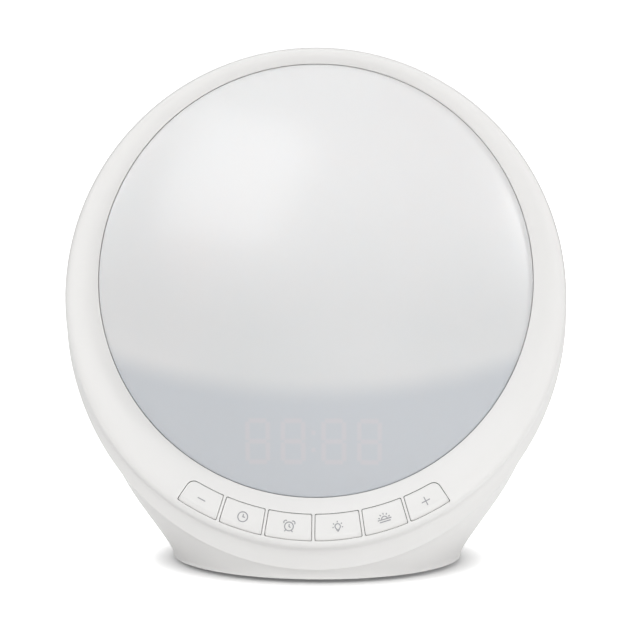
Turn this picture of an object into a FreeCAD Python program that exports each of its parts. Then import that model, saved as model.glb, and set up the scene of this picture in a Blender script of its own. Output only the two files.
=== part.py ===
import FreeCAD, Part
import math
import os

V = FreeCAD.Vector

# Frame: the origin is the middle of the footprint on the table, +Z is up and the face looks along -Y.
# All sizes are in millimetres and all angles in degrees.

# Head: the ring, the dome and all that sits behind them share a plane tilted back from upright.
HEAD_TILT = 14.0
HEAD_Y = -25.0
HEAD_Z = 102.8
RING_R = 90.0
RING_SLIM = 11.9
OPENING_R = RING_R - RING_SLIM
OPENING_RISE = 6.2
PARTING_DEPTH = 10.0
PARTING_GAP = 0.2
PARTING_HALF_WIDTH = 90.2
PARTING_HALF_HEIGHT = 93.8
PARTING_DROP = 3.8
WALL = 2.2

# Foot: the plan of the underside is an ellipse.
FOOT_HEIGHT = 1.5
FOOT_HALF_WIDTH = 53.8
FOOT_HALF_DEPTH = 37.0

# Ring section, as control ovals from the dome edge (share 1) over the crest to the rim (share 0).
# Each row is the share of the way in, then the height over the crest plane.
RING_SECTION = [(1.0, -3.6), (0.88, -2.6), (0.68, -1.1), (0.45, 0.0), (0.24, 0.45), (0.07, -0.2), (0.0, -2.2)]

# Below the rim the shell flares into the chin. Each row is the lowest and the highest point
# of a control oval, its half width and its height over the crest plane.
CHIN_SECTION = [(-90.3, 89.8, 89.5, -4.6), (-91.0, 89.85, 89.7, -6.6), (-94.0, 89.95, 90.0, -8.2)]

# Back of the case: control ovals on planes that fan out from one line under the chin.
# Each row is the angle of the plane, the distance to the far side, and the half width.
BACK_SECTION = [
    (71.6, 192.3, 90.0),
    (65.0, 180.3, 87.5),
    (56.8, 153.5, 82.5),
    (46.5, 122.0, 76.0),
    (33.4, 97.0, 67.5),
    (16.7, 82.0, 59.3),
    (6.0, 78.0, 54.8),
    (2.4, 77.1, 53.9),
]
FAN_NEAR_AT_FOOT = 3.0
FRONT_STEPS = [0.0, 0.11, 0.22, 0.33, 0.45, 0.58, 0.7, 0.84, 1.0]
BACK_STEPS = [0.0, 0.1, 0.19, 0.27, 0.35, 0.43, 0.52, 0.64, 0.82, 1.0]
BACK_HOLLOW_STEPS = [0.0, 0.1, 0.27, 0.43, 0.64, 0.82, 1.0]

# Hollow of the front shell, in the same terms as the chin.
OPENING_WALL = 2.0
HOLLOW_TOP = -5.4
HOLLOW_SECTION = [
    (-79.0, 86.8, 83.4, -2.9),
    (-88.4, 87.6, 87.4, -5.0),
]

# Dome.
DOME_GAP = 0.3
DOME_R = OPENING_R - DOME_GAP
DOME_HEIGHT = 22.0
DOME_EDGE = -4.2
DOME_WALL = 2.0
DOME_FLANGE_R = 81.2
DOME_FLANGE_TOP = -9.0
DOME_FLANGE_THICK = 1.6
SEAT_GAP = 0.05

# Keys: six in a band that follows the ring.
KEY_NAMES = ["minus", "clock", "alarm", "light", "sunrise", "plus"]
KEY_SHARE_LOW = 0.154
KEY_SHARE_HIGH = 0.688
KEY_GAP = 0.22
KEY_RIB = 0.9
KEY_FOCUS = 32.0
KEY_SPLITS = [-16.9, -8.7, 0.0, 8.7, 16.9]
KEY_END_ANGLE = 33.8
KEY_SINK = 0.12
KEY_FLOOR = -6.0
KEY_LIP = 0.8
KEY_LIP_TOP = -5.2
KEY_TRAVEL = 0.8
KEY_STEM_R = 1.6
END_KEY_ROUND = 2.8
KEY_BEVEL_WIDE = 2.0
KEY_BEVEL_TOP = 0.1
KEY_BEVEL_FALL = 2.2

# Push switches under the keys.
SWITCH_SIDE = 6.0
SWITCH_TOP = -9.3
SWITCH_FOOT = -12.8
PLUNGER_R = 1.7
PLUNGER_TOP = -7.5
PLUNGER_FOOT = -10.3
PLUNGER_BORE_GAP = 0.1
BOARD_THICK = 1.6

# Reflector dish and lamp.
DISH_RIM_IN = 74.0
DISH_FLOOR_R = 46.0
DISH_FLOOR = -32.0
DISH_WALL = 1.6
DISH_RIM_TOP = DOME_FLANGE_TOP - DOME_FLANGE_THICK - SEAT_GAP
DISH_FLANGE_R = 80.2
EAR_RADIUS_AT = 84.0
EAR_ANGLES = [-2.0, 182.0, -38.0, -142.0]
EAR_R = 2.4
LAMP_BOARD_R = 36.0
LAMP_BOARD_RISE = 9.0
LED_SIDE = 5.0
LED_HEIGHT = 1.5
LED_RINGS = [(0.0, 1), (13.0, 6), (26.0, 12)]

# Display.
SHROUD_ARC_R = 218.0
SHROUD_ARC_LOW = -34.2
SHROUD_WALL = 1.6
SHROUD_TOP = -6.4
SHROUD_DOME_GAP = 0.8
SHROUD_BACK_R = 73.5
DISPLAY_RISE = -52.0
MODULE_RISE = -51.2
MODULE_WIDE = 55.0
MODULE_TALL = 19.6
DIGIT_WIDE = 8.6
DIGIT_TALL = 16.0
DIGIT_PITCH = 12.6
COLON_GAP = 3.4
SEGMENT = 1.7
SEGMENT_GAP = 0.25
SEGMENT_THICK = 0.2

# Boards.
MAIN_WIDE = 88.0
MAIN_LOW = -69.0
MAIN_HIGH = -38.5
MAIN_POSTS = [(-36.0, -48.0), (36.0, -48.0)]
KEY_BOARD_POSTS = [(-55.0, -65.0), (55.0, -65.0)]
MAIN_BOARD_TOP = -14.4
POST_R = 2.3
PILOT_R = 0.8
CROSS_DEEP = 0.7

# Case screws run from wells in the back into posts on the dish. Each row is x, rise and end of the post.
CASE_POSTS = [(-50.0, 40.0, -31.0), (50.0, 40.0, -31.0), (-56.0, -18.0, -44.0), (56.0, -18.0, -44.0)]
CASE_POST_R = 3.0
WELL_R = 3.9
WELL_BORE_R = 2.6
WELL_FLOOR = 1.8

# Speaker, facing backwards behind the grille.
SPEAKER_Z = 98.0
SPEAKER_R = 21.0
SPEAKER_FACE_Y = 29.0
SPEAKER_RIM = 1.2
SPEAKER_DEEP = 8.0
SPEAKER_MAGNET_R = 12.0
SPEAKER_MAGNET_DEEP = 6.5
GRILLE_Y = 38.0
GRILLE_THICK = 1.6
GRILLE_R = 20.0
GRILLE_SLOTS = 5
GRILLE_SLOT = 1.5
GRILLE_PITCH = 3.1
GRILLE_FIELD_R = 17.0

# Power inlet low on the back.
INLET_Z = 22.0
INLET_BORE_R = 2.85
INLET_NOSE_R = 4.0
INLET_PIN_R = 1.0
INLET_DEEP = 9.0
INLET_BODY = 18.0
INLET_FACE_Y = 37.0

# Base plate, feet and backup cell.
BASE_GAP = 0.25
BASE_THICK = 2.4
POST_TOP = 20.0
FOOT_PAD_R = 4.5
FOOT_PADS = [(-36.0, -17.0), (36.0, -17.0), (-36.0, 17.0), (36.0, 17.0)]
BASE_SCREWS = [(-43.0, 0.0), (43.0, 0.0)]
CELL_Y = 8.0
CELL_R = 10.0
CELL_THICK = 3.2
CELL_FLOOR = 4.6
CAP_R = 12.5
CAP_GAP = 0.3
CUP_R = 15.2
CUP_TOP = 10.0
CAP_SEAT = 4.1
CAP_LUGS = 3
CAP_TURN = 30.0
LUG_SWEEP = 24.0
LUG_REACH = 1.4
LUG_LOW = 2.7
LUG_THICK = 0.8


HEAD = FreeCAD.Placement(V(0, HEAD_Y, HEAD_Z), FreeCAD.Rotation(V(1, 0, 0), 90.0 - HEAD_TILT))


def on_head(shape):
    """Move a shape drawn in the head's own plane (x, rise, height over the crest) to its place."""
    moved = shape.copy()
    moved.Placement = HEAD.multiply(moved.Placement)
    return moved


AROUND = 16
POLE_REACH = 6.0 / (4.0 + 2.0 * math.cos(2 * math.pi / AROUND))
INNER_SIDES = 36


def oval(centre, across, along, half_width, half_height):
    """Control points of a smooth closed ellipse, starting at its side."""
    poles = []
    for i in range(AROUND):
        turn = 2 * math.pi * i / AROUND
        aside = across * (half_width * POLE_REACH * math.cos(turn))
        poles.append(centre + aside + along * (half_height * POLE_REACH * math.sin(turn)))
    return poles


def blend(rows, steps):
    """Points along the smooth curve (a clamped cubic) that a list of control rows describes.

    The steps run from 0 at its start to 1 at its end."""
    last = len(rows) - 3
    knots = [0] * 3 + list(range(last + 1)) + [last] * 3
    points = []
    for step in steps:
        place = min(last * step, last - 1e-9)
        span = int(place) + 3
        work = [list(rows[span - 3 + i]) for i in range(4)]
        for level in range(1, 4):
            for i in range(3, level - 1, -1):
                low = knots[span - 3 + i]
                high = knots[span + 1 + i - level]
                share = (place - low) / (high - low)
                work[i] = [(1 - share) * p + share * q for p, q in zip(work[i - 1], work[i])]
        points.append(work[3])
    return points


def strip(first, second):
    surface = Part.BSplineSurface()
    knots = list(range(AROUND + 1))
    mults = [1] * (AROUND + 1)
    surface.buildFromPolesMultsKnots([first, second], [2, 2], mults, [0, 1], knots, False, True, 1, 3)
    return surface.toShape()


def skin(ovals):
    """Smooth bands that join each oval to the next."""
    return [strip(first, second) for first, second in zip(ovals, ovals[1:])]


def flat_sided(centre, across, along, half_width, half_height, sides):
    """Corners of an ellipse with straight sides, for the hidden inner faces."""
    points = []
    for i in range(sides):
        turn = 2 * math.pi * i / sides
        points.append(centre + across * (half_width * math.cos(turn)) + along * (half_height * math.sin(turn)))
    return points


def facets(rings):
    """Flat faces that join each ring of corners to the next: one where four corners lie level, else two."""
    faces = []
    for first, second in zip(rings, rings[1:]):
        for i in range(len(first)):
            a, b = first[i], first[(i + 1) % len(first)]
            c, d = second[(i + 1) % len(first)], second[i]
            level = (b - a).cross(c - a).normalize()
            if abs((d - a).dot(level)) < 1e-7:
                faces.append(Part.Face(polygon([a, b, c, d])))
            else:
                faces.append(Part.Face(polygon([a, b, c])))
                faces.append(Part.Face(polygon([a, c, d])))
    return faces


def polygon(points):
    return Part.makePolygon(points + [points[0]])


def tapered(rows, x=0.0, y=0.0, sides=INNER_SIDES):
    """Solid through flat-sided rounds about an upright line. Each row is a radius and a height."""
    rings = [flat_sided(V(x, y, z), V(1, 0, 0), V(0, 1, 0), r, r, sides) for r, z in rows]
    return sewn(facets(rings) + [Part.Face(polygon(rings[0])), Part.Face(polygon(rings[-1]))])


def outline(poles):
    curve = Part.BSplineCurve()
    curve.buildFromPolesMultsKnots(poles, [1] * (AROUND + 1), list(range(AROUND + 1)), True, 3)
    return Part.Wire([curve.toShape()])


def rim(outer, inner):
    """A flat face between a smooth oval and a flat-sided one."""
    return Part.makeFace([outline(outer), polygon(inner)], "Part::FaceMakerBullseye")


def sewn(faces):
    shell = Part.Shell(faces)
    shell.sewShape()
    solid = Part.Solid(shell.Shells[0] if shell.ShapeType != "Shell" else shell)
    if solid.Volume < 0:
        solid.reverse()
    return solid


def face_oval(low, high, half_width, height):
    return oval(V(0, (low + high) / 2, height), V(1, 0, 0), V(0, 1, 0), half_width, (high - low) / 2)


def inner_oval(low, high, half_width, height):
    centre = V(0, (low + high) / 2, height)
    return flat_sided(centre, V(1, 0, 0), V(0, 1, 0), half_width, (high - low) / 2, INNER_SIDES)


def opening_row(radius, height):
    return (OPENING_RISE - radius, OPENING_RISE + radius, radius, height)


def disc(x, y, z, radius, height):
    return Part.makeCylinder(radius, height, V(x, y, z))


def post(x, y, z, radius, height, sides=8):
    """Many-sided post, for what is small or hidden."""
    corners = flat_sided(V(x, y, z), V(1, 0, 0), V(0, 1, 0), radius, radius, sides)
    return Part.Face(polygon(corners)).extrude(V(0, 0, height))


def block(x0, x1, y0, y1, z0, z1):
    return Part.makeBox(x1 - x0, y1 - y0, z1 - z0, V(x0, y0, z0))


def fused(shapes):
    first = shapes[0]
    if len(shapes) == 1:
        return first
    return first.multiFuse(shapes[1:])


# Outer forms.


def ring_row(share, height):
    radius = RING_R - RING_SLIM * share
    middle = OPENING_RISE * share
    return (middle - radius, middle + radius, radius, height)


def parting_row(inset):
    low = -PARTING_DROP - PARTING_HALF_HEIGHT + inset
    high = -PARTING_DROP + PARTING_HALF_HEIGHT - inset
    return (low, high, PARTING_HALF_WIDTH - inset, -PARTING_DEPTH)


def front_ovals():
    """The front shell's outer face, from the dome edge to the parting plane."""
    rows = [ring_row(share, height) for share, height in RING_SECTION]
    rows += CHIN_SECTION + [parting_row(0.0)]
    return [face_oval(*row) for row in blend(rows, FRONT_STEPS)]


def hollow_rings():
    """The front shell's inner face, from behind the dome's flange to the parting plane."""
    back = OPENING_R + OPENING_WALL
    rows = [opening_row(back, DOME_FLANGE_TOP + SEAT_GAP), opening_row(back, HOLLOW_TOP)]
    rows += HOLLOW_SECTION + [parting_row(WALL)]
    return [inner_oval(*row) for row in rows]


def front_shell():
    """The front shell as moulded, before its windows and bosses."""
    outer = front_ovals()
    inner = hollow_rings()
    lip = face_oval(*opening_row(OPENING_R, DOME_FLANGE_TOP + SEAT_GAP))
    faces = skin([lip] + outer) + facets(inner)
    faces.append(rim(outer[-1], inner[-1]))
    faces.append(Part.makeFace([polygon(inner[0]), outline(lip)], "Part::FaceMakerBullseye"))
    return sewn(faces)


def front_solid():
    outer = front_ovals()
    return sewn(skin(outer) + [Part.Face(outline(outer[0])), Part.Face(outline(outer[-1]))])


def fan_hinge():
    """The line where the back shell's front plane meets the plane of the foot."""
    tilt = math.radians(HEAD_TILT)
    depth = PARTING_DEPTH + PARTING_GAP
    rise = (FOOT_HEIGHT - HEAD_Z + depth * math.sin(tilt)) / math.cos(tilt)
    return V(0, HEAD_Y + rise * math.sin(tilt) + depth * math.cos(tilt), FOOT_HEIGHT), rise


def back_rows(steps):
    """Angle, near end, far end and half width of the back's section planes, from the parting to the foot."""
    _, rise = fan_hinge()
    upright = 90.0 - HEAD_TILT
    near = -PARTING_DROP - PARTING_HALF_HEIGHT - rise
    far = -PARTING_DROP + PARTING_HALF_HEIGHT - rise
    depth = FAN_NEAR_AT_FOOT + 2 * FOOT_HALF_DEPTH
    rows = [(upright, far, PARTING_HALF_WIDTH)] + BACK_SECTION + [(0.0, depth, FOOT_HALF_WIDTH)]
    planes = []
    for angle, reach, half_width in blend(rows, steps):
        start = FAN_NEAR_AT_FOOT + (near - FAN_NEAR_AT_FOOT) * angle / upright
        planes.append((angle, start, reach, half_width))
    return planes


def back_rings(steps, inset, draw):
    """Ovals of the back on its section planes, drawn in by inset."""
    hinge, _ = fan_hinge()
    rings = []
    for angle, near, far, half_width in back_rows(steps):
        along = V(0, math.cos(math.radians(angle)), math.sin(math.radians(angle)))
        centre = hinge + along * ((near + far) / 2)
        rings.append(draw(centre, V(1, 0, 0), along, half_width - inset, (far - near) / 2 - inset))
    return rings


def inner_ring(centre, across, along, half_width, half_height):
    return flat_sided(centre, across, along, half_width, half_height, INNER_SIDES)


def back_core():
    """The back filled in up to the middle of its wall, which what stands inside is trimmed to."""
    rings = back_rings(BACK_HOLLOW_STEPS, WALL / 2, inner_ring)
    return sewn(facets(rings) + [Part.Face(polygon(rings[0])), Part.Face(polygon(rings[-1]))])


def back_shell():
    outer = back_rings(BACK_STEPS, 0.0, oval)
    inner = back_rings(BACK_HOLLOW_STEPS, WALL, inner_ring)
    return sewn(skin(outer) + facets(inner) + [rim(outer[0], inner[0]), rim(outer[-1], inner[-1])])


# Keys.


def split_line(angle, shift):
    """A line between two keys: a point and a direction, moved sideways by shift."""
    turn = math.radians(angle)
    way = V(math.sin(turn), -math.cos(turn), 0)
    aside = V(math.cos(turn), math.sin(turn), 0)
    return V(0, KEY_FOCUS, 0) + aside * shift, way


def end_line(side, shift):
    turn = math.radians(KEY_END_ANGLE * side)
    way = V(math.sin(turn), -math.cos(turn), 0)
    aside = V(math.cos(turn), math.sin(turn), 0)
    return aside * shift, way


def meet(line, share, grow):
    """Where a line meets the circle of a ring share, grown outward by grow."""
    start, way = line
    centre = V(0, OPENING_RISE * share, 0)
    radius = RING_R - RING_SLIM * share + grow
    away = start - centre
    b = away.dot(way)
    c = away.dot(away) - radius * radius
    return start + way * (-b + math.sqrt(b * b - c))


def arc_between(a, b, share, grow):
    centre = V(0, OPENING_RISE * share, 0)
    radius = RING_R - RING_SLIM * share + grow
    middle = (a + b) * 0.5 - centre
    middle.normalize()
    return Part.Arc(a, centre + middle * radius, b).toShape()


def key_face(index, gap, reach=0.0):
    """Outline of one key. The gap draws it in from its cell and reach widens it up and down the ring."""
    half_rib = KEY_RIB / 2
    left = end_line(-1, gap) if index == 0 else split_line(KEY_SPLITS[index - 1], half_rib + gap)
    right = end_line(1, -gap) if index == 5 else split_line(KEY_SPLITS[index], -half_rib - gap)
    grow_low = reach - gap
    grow_high = gap - reach
    a = meet(left, KEY_SHARE_LOW, grow_low)
    b = meet(right, KEY_SHARE_LOW, grow_low)
    c = meet(right, KEY_SHARE_HIGH, grow_high)
    d = meet(left, KEY_SHARE_HIGH, grow_high)
    edges = [
        arc_between(a, b, KEY_SHARE_LOW, grow_low),
        Part.makeLine(b, c),
        arc_between(c, d, KEY_SHARE_HIGH, grow_high),
        Part.makeLine(d, a),
    ]
    return Part.Face(Part.Wire(edges)), (a, b, c, d)


def round_corners(prism, corners, radius):
    """Round the upright edges of a prism that stand on the given corners."""
    edges = []
    for edge in prism.Edges:
        ends = [v.Point for v in edge.Vertexes]
        if len(ends) != 2 or abs(ends[0].z - ends[1].z) < 0.5:
            continue
        flat = V(ends[0].x, ends[0].y, 0)
        if any(flat.distanceToPoint(c) < 0.05 for c in corners):
            edges.append(edge)
    return prism.makeFillet(radius, edges)


def key_prism(index, gap, low, high, reach=0.0):
    """A key's outline as an upright prism. The end keys have one corner with a wide round."""
    face, corners = key_face(index, gap, reach)
    face.translate(V(0, 0, low))
    prism = face.extrude(V(0, 0, high - low))
    wide = {0: [corners[3]], 5: [corners[2]]}.get(index, [])
    if wide:
        prism = round_corners(prism, wide, END_KEY_ROUND - gap)
    return prism


def key_centre(index):
    _, corners = key_face(index, 0.0)
    middle = corners[0] + corners[1] + corners[2] + corners[3]
    return middle * 0.25


def key_slope():
    """Cutter that slopes the lower side of every key along the ring."""
    edge = RING_R - RING_SLIM * KEY_SHARE_LOW
    rows = [(edge - KEY_BEVEL_WIDE, KEY_BEVEL_TOP), (edge + 3.0, KEY_BEVEL_TOP - KEY_BEVEL_FALL)]
    rows += [(edge + 3.0, 9.0), (edge - KEY_BEVEL_WIDE, 9.0)]
    points = [V(r, OPENING_RISE * KEY_SHARE_LOW, z) for r, z in rows]
    axis_at = V(0, OPENING_RISE * KEY_SHARE_LOW, 0)
    cutter = Part.Face(polygon(points)).revolve(axis_at, V(0, 0, 1), 90)
    cutter.rotate(axis_at, V(0, 0, 1), -135)
    return cutter


def key(index, key_top):
    cap = key_prism(index, KEY_GAP, KEY_FLOOR, 6.0).common(key_top).cut(key_slope())
    lip = key_prism(index, KEY_GAP, KEY_FLOOR, KEY_LIP_TOP, KEY_LIP)
    centre = key_centre(index)
    stem = post(centre.x, centre.y, PLUNGER_TOP + SEAT_GAP, KEY_STEM_R, KEY_FLOOR - PLUNGER_TOP)
    return cap.fuse(lip).fuse(stem)


def plunger(index):
    centre = key_centre(index)
    return post(centre.x, centre.y, PLUNGER_FOOT, PLUNGER_R, PLUNGER_TOP - PLUNGER_FOOT)


def switch_bodies():
    bodies = []
    for index in range(len(KEY_NAMES)):
        centre = key_centre(index)
        half = SWITCH_SIDE / 2
        angle = math.degrees(math.atan2(centre.x, -centre.y))
        body = block(-half, half, -half, half, SWITCH_FOOT, SWITCH_TOP)
        bore_low = PLUNGER_FOOT - KEY_TRAVEL - 0.3
        body.rotate(V(0, 0, 0), V(0, 0, 1), angle)
        body.translate(V(centre.x, centre.y, 0))
        body = body.cut(post(centre.x, centre.y, bore_low, PLUNGER_R + PLUNGER_BORE_GAP, 5))
        bodies.append(body)
    return on_head(Part.makeCompound(bodies))


# Front shell and dome.


def ear_places():
    places = []
    for angle in EAR_ANGLES:
        turn = math.radians(angle)
        places.append((EAR_RADIUS_AT * math.cos(turn), OPENING_RISE + EAR_RADIUS_AT * math.sin(turn)))
    return places


def ear_arm(angle, low):
    """Web that joins an ear to the dish's flange."""
    arm = block(DISH_FLANGE_R - 2.0, EAR_RADIUS_AT, -EAR_R * 0.8, EAR_R * 0.8, low, low + DISH_WALL)
    arm.rotate(V(0, 0, 0), V(0, 0, 1), angle)
    arm.translate(V(0, OPENING_RISE, 0))
    return arm


def front_bezel():
    lip = disc(0, OPENING_RISE, -30, OPENING_R + OPENING_WALL, 60)
    bosses = []
    for x, rise in ear_places():
        bosses.append(post(x, rise, DISH_RIM_TOP, EAR_R - 0.1, -DISH_RIM_TOP - 2.4))
    for x, rise in KEY_BOARD_POSTS:
        bosses.append(post(x, rise, SWITCH_FOOT, POST_R, -SWITCH_FOOT - 2.4))
    shell = front_shell().fuse(fused(bosses).cut(lip))
    cuts = []
    for x, rise in ear_places():
        cuts.append(post(x, rise, DISH_RIM_TOP - 1, PILOT_R, 6.5))
    for x, rise in KEY_BOARD_POSTS:
        cuts.append(post(x, rise, SWITCH_FOOT - 1, PILOT_R, 8.0))
    for index in range(len(KEY_NAMES)):
        cuts.append(key_prism(index, 0.0, -14.0, 6.0))
    return on_head(shell.cut(Part.makeCompound(cuts)))


def dome_ball():
    """Radius of the dome's outer face and the height of its centre."""
    radius = (DOME_R * DOME_R + DOME_HEIGHT * DOME_HEIGHT) / (2 * DOME_HEIGHT)
    return radius, DOME_EDGE + DOME_HEIGHT - radius


def dome_hollow(extra):
    """The room under the dome, in flat-sided rings. Extra draws it in from the dome's inner face."""
    ball, centre = dome_ball()
    inner = ball - DOME_WALL - extra
    edge = DOME_R - DOME_WALL - extra
    rows = [(edge, -45.0)]
    for share in (1.0, 0.83, 0.66, 0.49, 0.32, 0.15):
        rows.append((edge * share, centre + math.sqrt(inner * inner - edge * edge * share * share)))
    return tapered(rows, 0, OPENING_RISE)


def light_dome():
    ball_radius, centre = dome_ball()
    foot = DOME_FLANGE_TOP - DOME_FLANGE_THICK
    ball = Part.makeSphere(ball_radius, V(0, OPENING_RISE, centre), V(1, 0, 0))
    outer = ball.common(disc(0, OPENING_RISE, foot, DOME_R, DOME_HEIGHT - foot))
    flange = disc(0, OPENING_RISE, foot, DOME_FLANGE_R, DOME_FLANGE_THICK)
    return on_head(outer.fuse(flange).cut(dome_hollow(0.0)))


# Back shell and base.


def along_y(x, y, z, radius, length):
    return Part.makeCylinder(radius, length, V(x, y, z), V(0, 1, 0))


def base_posts():
    posts = []
    floor = FOOT_HEIGHT + BASE_THICK
    for x, y in BASE_SCREWS:
        angle = math.degrees(math.atan2(y, x))
        rib = block(0, 16, -0.7, 0.7, floor, POST_TOP)
        rib.rotate(V(0, 0, 0), V(0, 0, 1), angle)
        rib.translate(V(x, y, 0))
        posts.append(post(x, y, floor, 3.0, POST_TOP - floor))
        posts.append(rib)
    return posts


def rear_housing():
    """Back shell with the speaker tube, the screw wells, the inlet boss and the posts for the base."""
    extras = base_posts()
    extras.append(along_y(0, SPEAKER_FACE_Y, SPEAKER_Z, SPEAKER_R + 1.6, 30))
    for x, rise, end in CASE_POSTS:
        extras.append(on_head(post(x, rise, end - 60, WELL_R, 60 - SEAT_GAP)))
    extras.append(along_y(0, 28, INLET_Z, INLET_NOSE_R + 2.0, 20))
    solid = back_shell().fuse(fused(extras).common(back_core()))
    cuts = [along_y(0, 0, SPEAKER_Z, GRILLE_R - 1.0, 60)]
    cuts.append(along_y(0, GRILLE_Y, SPEAKER_Z, GRILLE_R + 0.2, 20))
    for x, rise, end in CASE_POSTS:
        cuts.append(on_head(disc(x, rise, end - SEAT_GAP - WELL_FLOOR - 60, WELL_BORE_R, 60)))
        cuts.append(on_head(post(x, rise, end - 10, 1.1, 20)))
    for x, y in BASE_SCREWS:
        cuts.append(post(x, y, 0, PILOT_R + 0.05, 14))
    cuts.append(along_y(0, 10, INLET_Z, INLET_NOSE_R + 0.15, 60))
    return solid.cut(Part.makeCompound(cuts))


def speaker_grille():
    """Round plate with upright slots, seated in the back."""
    plate = along_y(0, GRILLE_Y + SEAT_GAP, SPEAKER_Z, GRILLE_R, GRILLE_THICK)
    slots = []
    for index in range(-GRILLE_SLOTS, GRILLE_SLOTS + 1):
        x = index * GRILLE_PITCH
        half = math.sqrt(GRILLE_FIELD_R ** 2 - x * x)
        wide = GRILLE_SLOT / 2
        slots.append(block(x - wide, x + wide, GRILLE_Y - 1, GRILLE_Y + 4, SPEAKER_Z - half, SPEAKER_Z + half))
    return plate.cut(Part.makeCompound(slots))


def to_speaker(shape):
    """Turn a shape drawn about the upright axis to the speaker's, its height becoming Y."""
    shape.rotate(V(0, 0, 0), V(1, 0, 0), -90)
    shape.translate(V(0, 0, SPEAKER_Z))
    return shape


def speaker_basket():
    """Round metal frame: a rim on the tube's end and a tapered cup behind it."""
    face = SPEAKER_FACE_Y - SEAT_GAP
    rim_plate = post(0, 0, face - SPEAKER_RIM, SPEAKER_R, SPEAKER_RIM, INNER_SIDES)
    cup = tapered([(SPEAKER_MAGNET_R, face - SPEAKER_DEEP), (SPEAKER_R - 3.5, face - 0.5)], sides=24)
    room = tapered([(SPEAKER_MAGNET_R - 1.0, face - SPEAKER_DEEP + 1.0), (SPEAKER_R - 4.5, face + 0.5)], sides=24)
    return to_speaker(rim_plate.fuse(cup).cut(room))


def speaker_magnet():
    top = SPEAKER_FACE_Y - SPEAKER_DEEP - 2 * SEAT_GAP
    return to_speaker(post(0, 0, top - SPEAKER_MAGNET_DEEP, SPEAKER_MAGNET_R, SPEAKER_MAGNET_DEEP, 24))


def speaker_cone():
    """Paper cone with a flat dust cap."""
    face = SPEAKER_FACE_Y - SEAT_GAP
    outer = tapered([(4.6, face - 5.6), (SPEAKER_R - 6.2, face - 0.6)], sides=24)
    room = tapered([(4.2, face - 5.0), (SPEAKER_R - 6.2, face + 0.4)], sides=24)
    return to_speaker(outer.cut(room))


def bowl(edge, floor_r, floor, top):
    """The dish's form: from the floor out to the edge, then straight up to the top."""
    rim_height = DISH_RIM_TOP - DISH_WALL
    rows = [(floor_r, floor), (edge, rim_height)]
    if top > rim_height:
        rows.append((edge, top))
    return tapered(rows, 0, OPENING_RISE)


def reflector_dish():
    """White bowl behind the dome. Its lower part is open for the display."""
    top = DISH_RIM_TOP
    seat = top - DISH_WALL
    outer = bowl(DISH_RIM_IN + DISH_WALL, DISH_FLOOR_R + DISH_WALL, DISH_FLOOR - DISH_WALL, seat)
    ring = post(0, OPENING_RISE, seat, DISH_FLANGE_R, DISH_WALL, INNER_SIDES)
    ears = [post(x, rise, seat, EAR_R, DISH_WALL) for x, rise in ear_places()]
    ears += [ear_arm(angle, seat) for angle in EAR_ANGLES]
    posts = [post(x, rise, end, CASE_POST_R, seat - end) for x, rise, end in CASE_POSTS]
    solid = outer.fuse([ring] + ears + posts)
    cuts = [bowl(DISH_RIM_IN, DISH_FLOOR_R, DISH_FLOOR, top + 1)]
    cuts += [post(x, rise, top - 5, 1.1, 8) for x, rise in ear_places()]
    cuts += [post(x, rise, end - 1, PILOT_R + 0.05, 8) for x, rise, end in CASE_POSTS]
    window = post(0, OPENING_RISE, -60, DISH_RIM_IN + 1.0, 80, INNER_SIDES)
    cuts.append(display_zone(SHROUD_WALL + 0.3, -60, top + 2).common(window))
    return on_head(solid.cut(Part.makeCompound(cuts)))


def display_zone(grow, low, high):
    """The part of the face below the long arc that bounds the display, grown upward by grow."""
    centre = V(0, SHROUD_ARC_LOW + SHROUD_ARC_R, 0)
    radius = SHROUD_ARC_R - grow
    half = 95.0
    top = centre.y - math.sqrt(radius * radius - half * half)
    a = V(-half, top, low)
    b = V(half, top, low)
    m = V(0, centre.y - radius, low)
    edges = [Part.Arc(a, m, b).toShape(), Part.makeLine(b, V(half, -140, low))]
    edges += [Part.makeLine(V(half, -140, low), V(-half, -140, low)), Part.makeLine(V(-half, -140, low), a)]
    return Part.Face(Part.Wire(edges)).extrude(V(0, 0, high - low))


def display_shroud():
    """Fascia of the display, with the wall that keeps the lamp's light out of it."""
    room = dome_hollow(SHROUD_DOME_GAP)
    bowl_back = DISH_FLOOR + SEAT_GAP
    wall = display_zone(SHROUD_WALL, bowl_back, 30).cut(display_zone(0.0, bowl_back - 1, 31))
    inside = post(0, OPENING_RISE, -60, SHROUD_BACK_R, 100, INNER_SIDES)
    wall = wall.common(inside).common(room)
    plate = display_zone(0.0, SHROUD_TOP - SHROUD_WALL, SHROUD_TOP).common(inside)
    posts = [post(x, rise, MAIN_BOARD_TOP, POST_R, SHROUD_TOP - MAIN_BOARD_TOP - 1) for x, rise in MAIN_POSTS]
    solid = wall.fuse([plate] + posts)
    half = MODULE_WIDE / 2 + 0.2
    tall = MODULE_TALL / 2 + 0.2
    cuts = [block(-half, half, MODULE_RISE - tall, MODULE_RISE + tall, -12, 0)]
    cuts += [post(x, rise, MAIN_BOARD_TOP - 1, PILOT_R + 0.05, 6.5) for x, rise in MAIN_POSTS]
    return on_head(solid.cut(Part.makeCompound(cuts)))


def display_module():
    half = MODULE_WIDE / 2
    tall = MODULE_TALL / 2
    top = SHROUD_TOP - 0.4
    return on_head(block(-half, half, MODULE_RISE - tall, MODULE_RISE + tall, MAIN_BOARD_TOP, top))


def segment(length):
    """One stroke of a digit, along x, with pointed ends."""
    half = length / 2 - SEGMENT_GAP
    tip = SEGMENT / 2
    points = [V(-half, 0, 0), V(-half + tip, tip, 0), V(half - tip, tip, 0)]
    points += [V(half, 0, 0), V(half - tip, -tip, 0), V(-half + tip, -tip, 0)]
    return Part.Face(polygon(points)).extrude(V(0, 0, SEGMENT_THICK))


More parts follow.
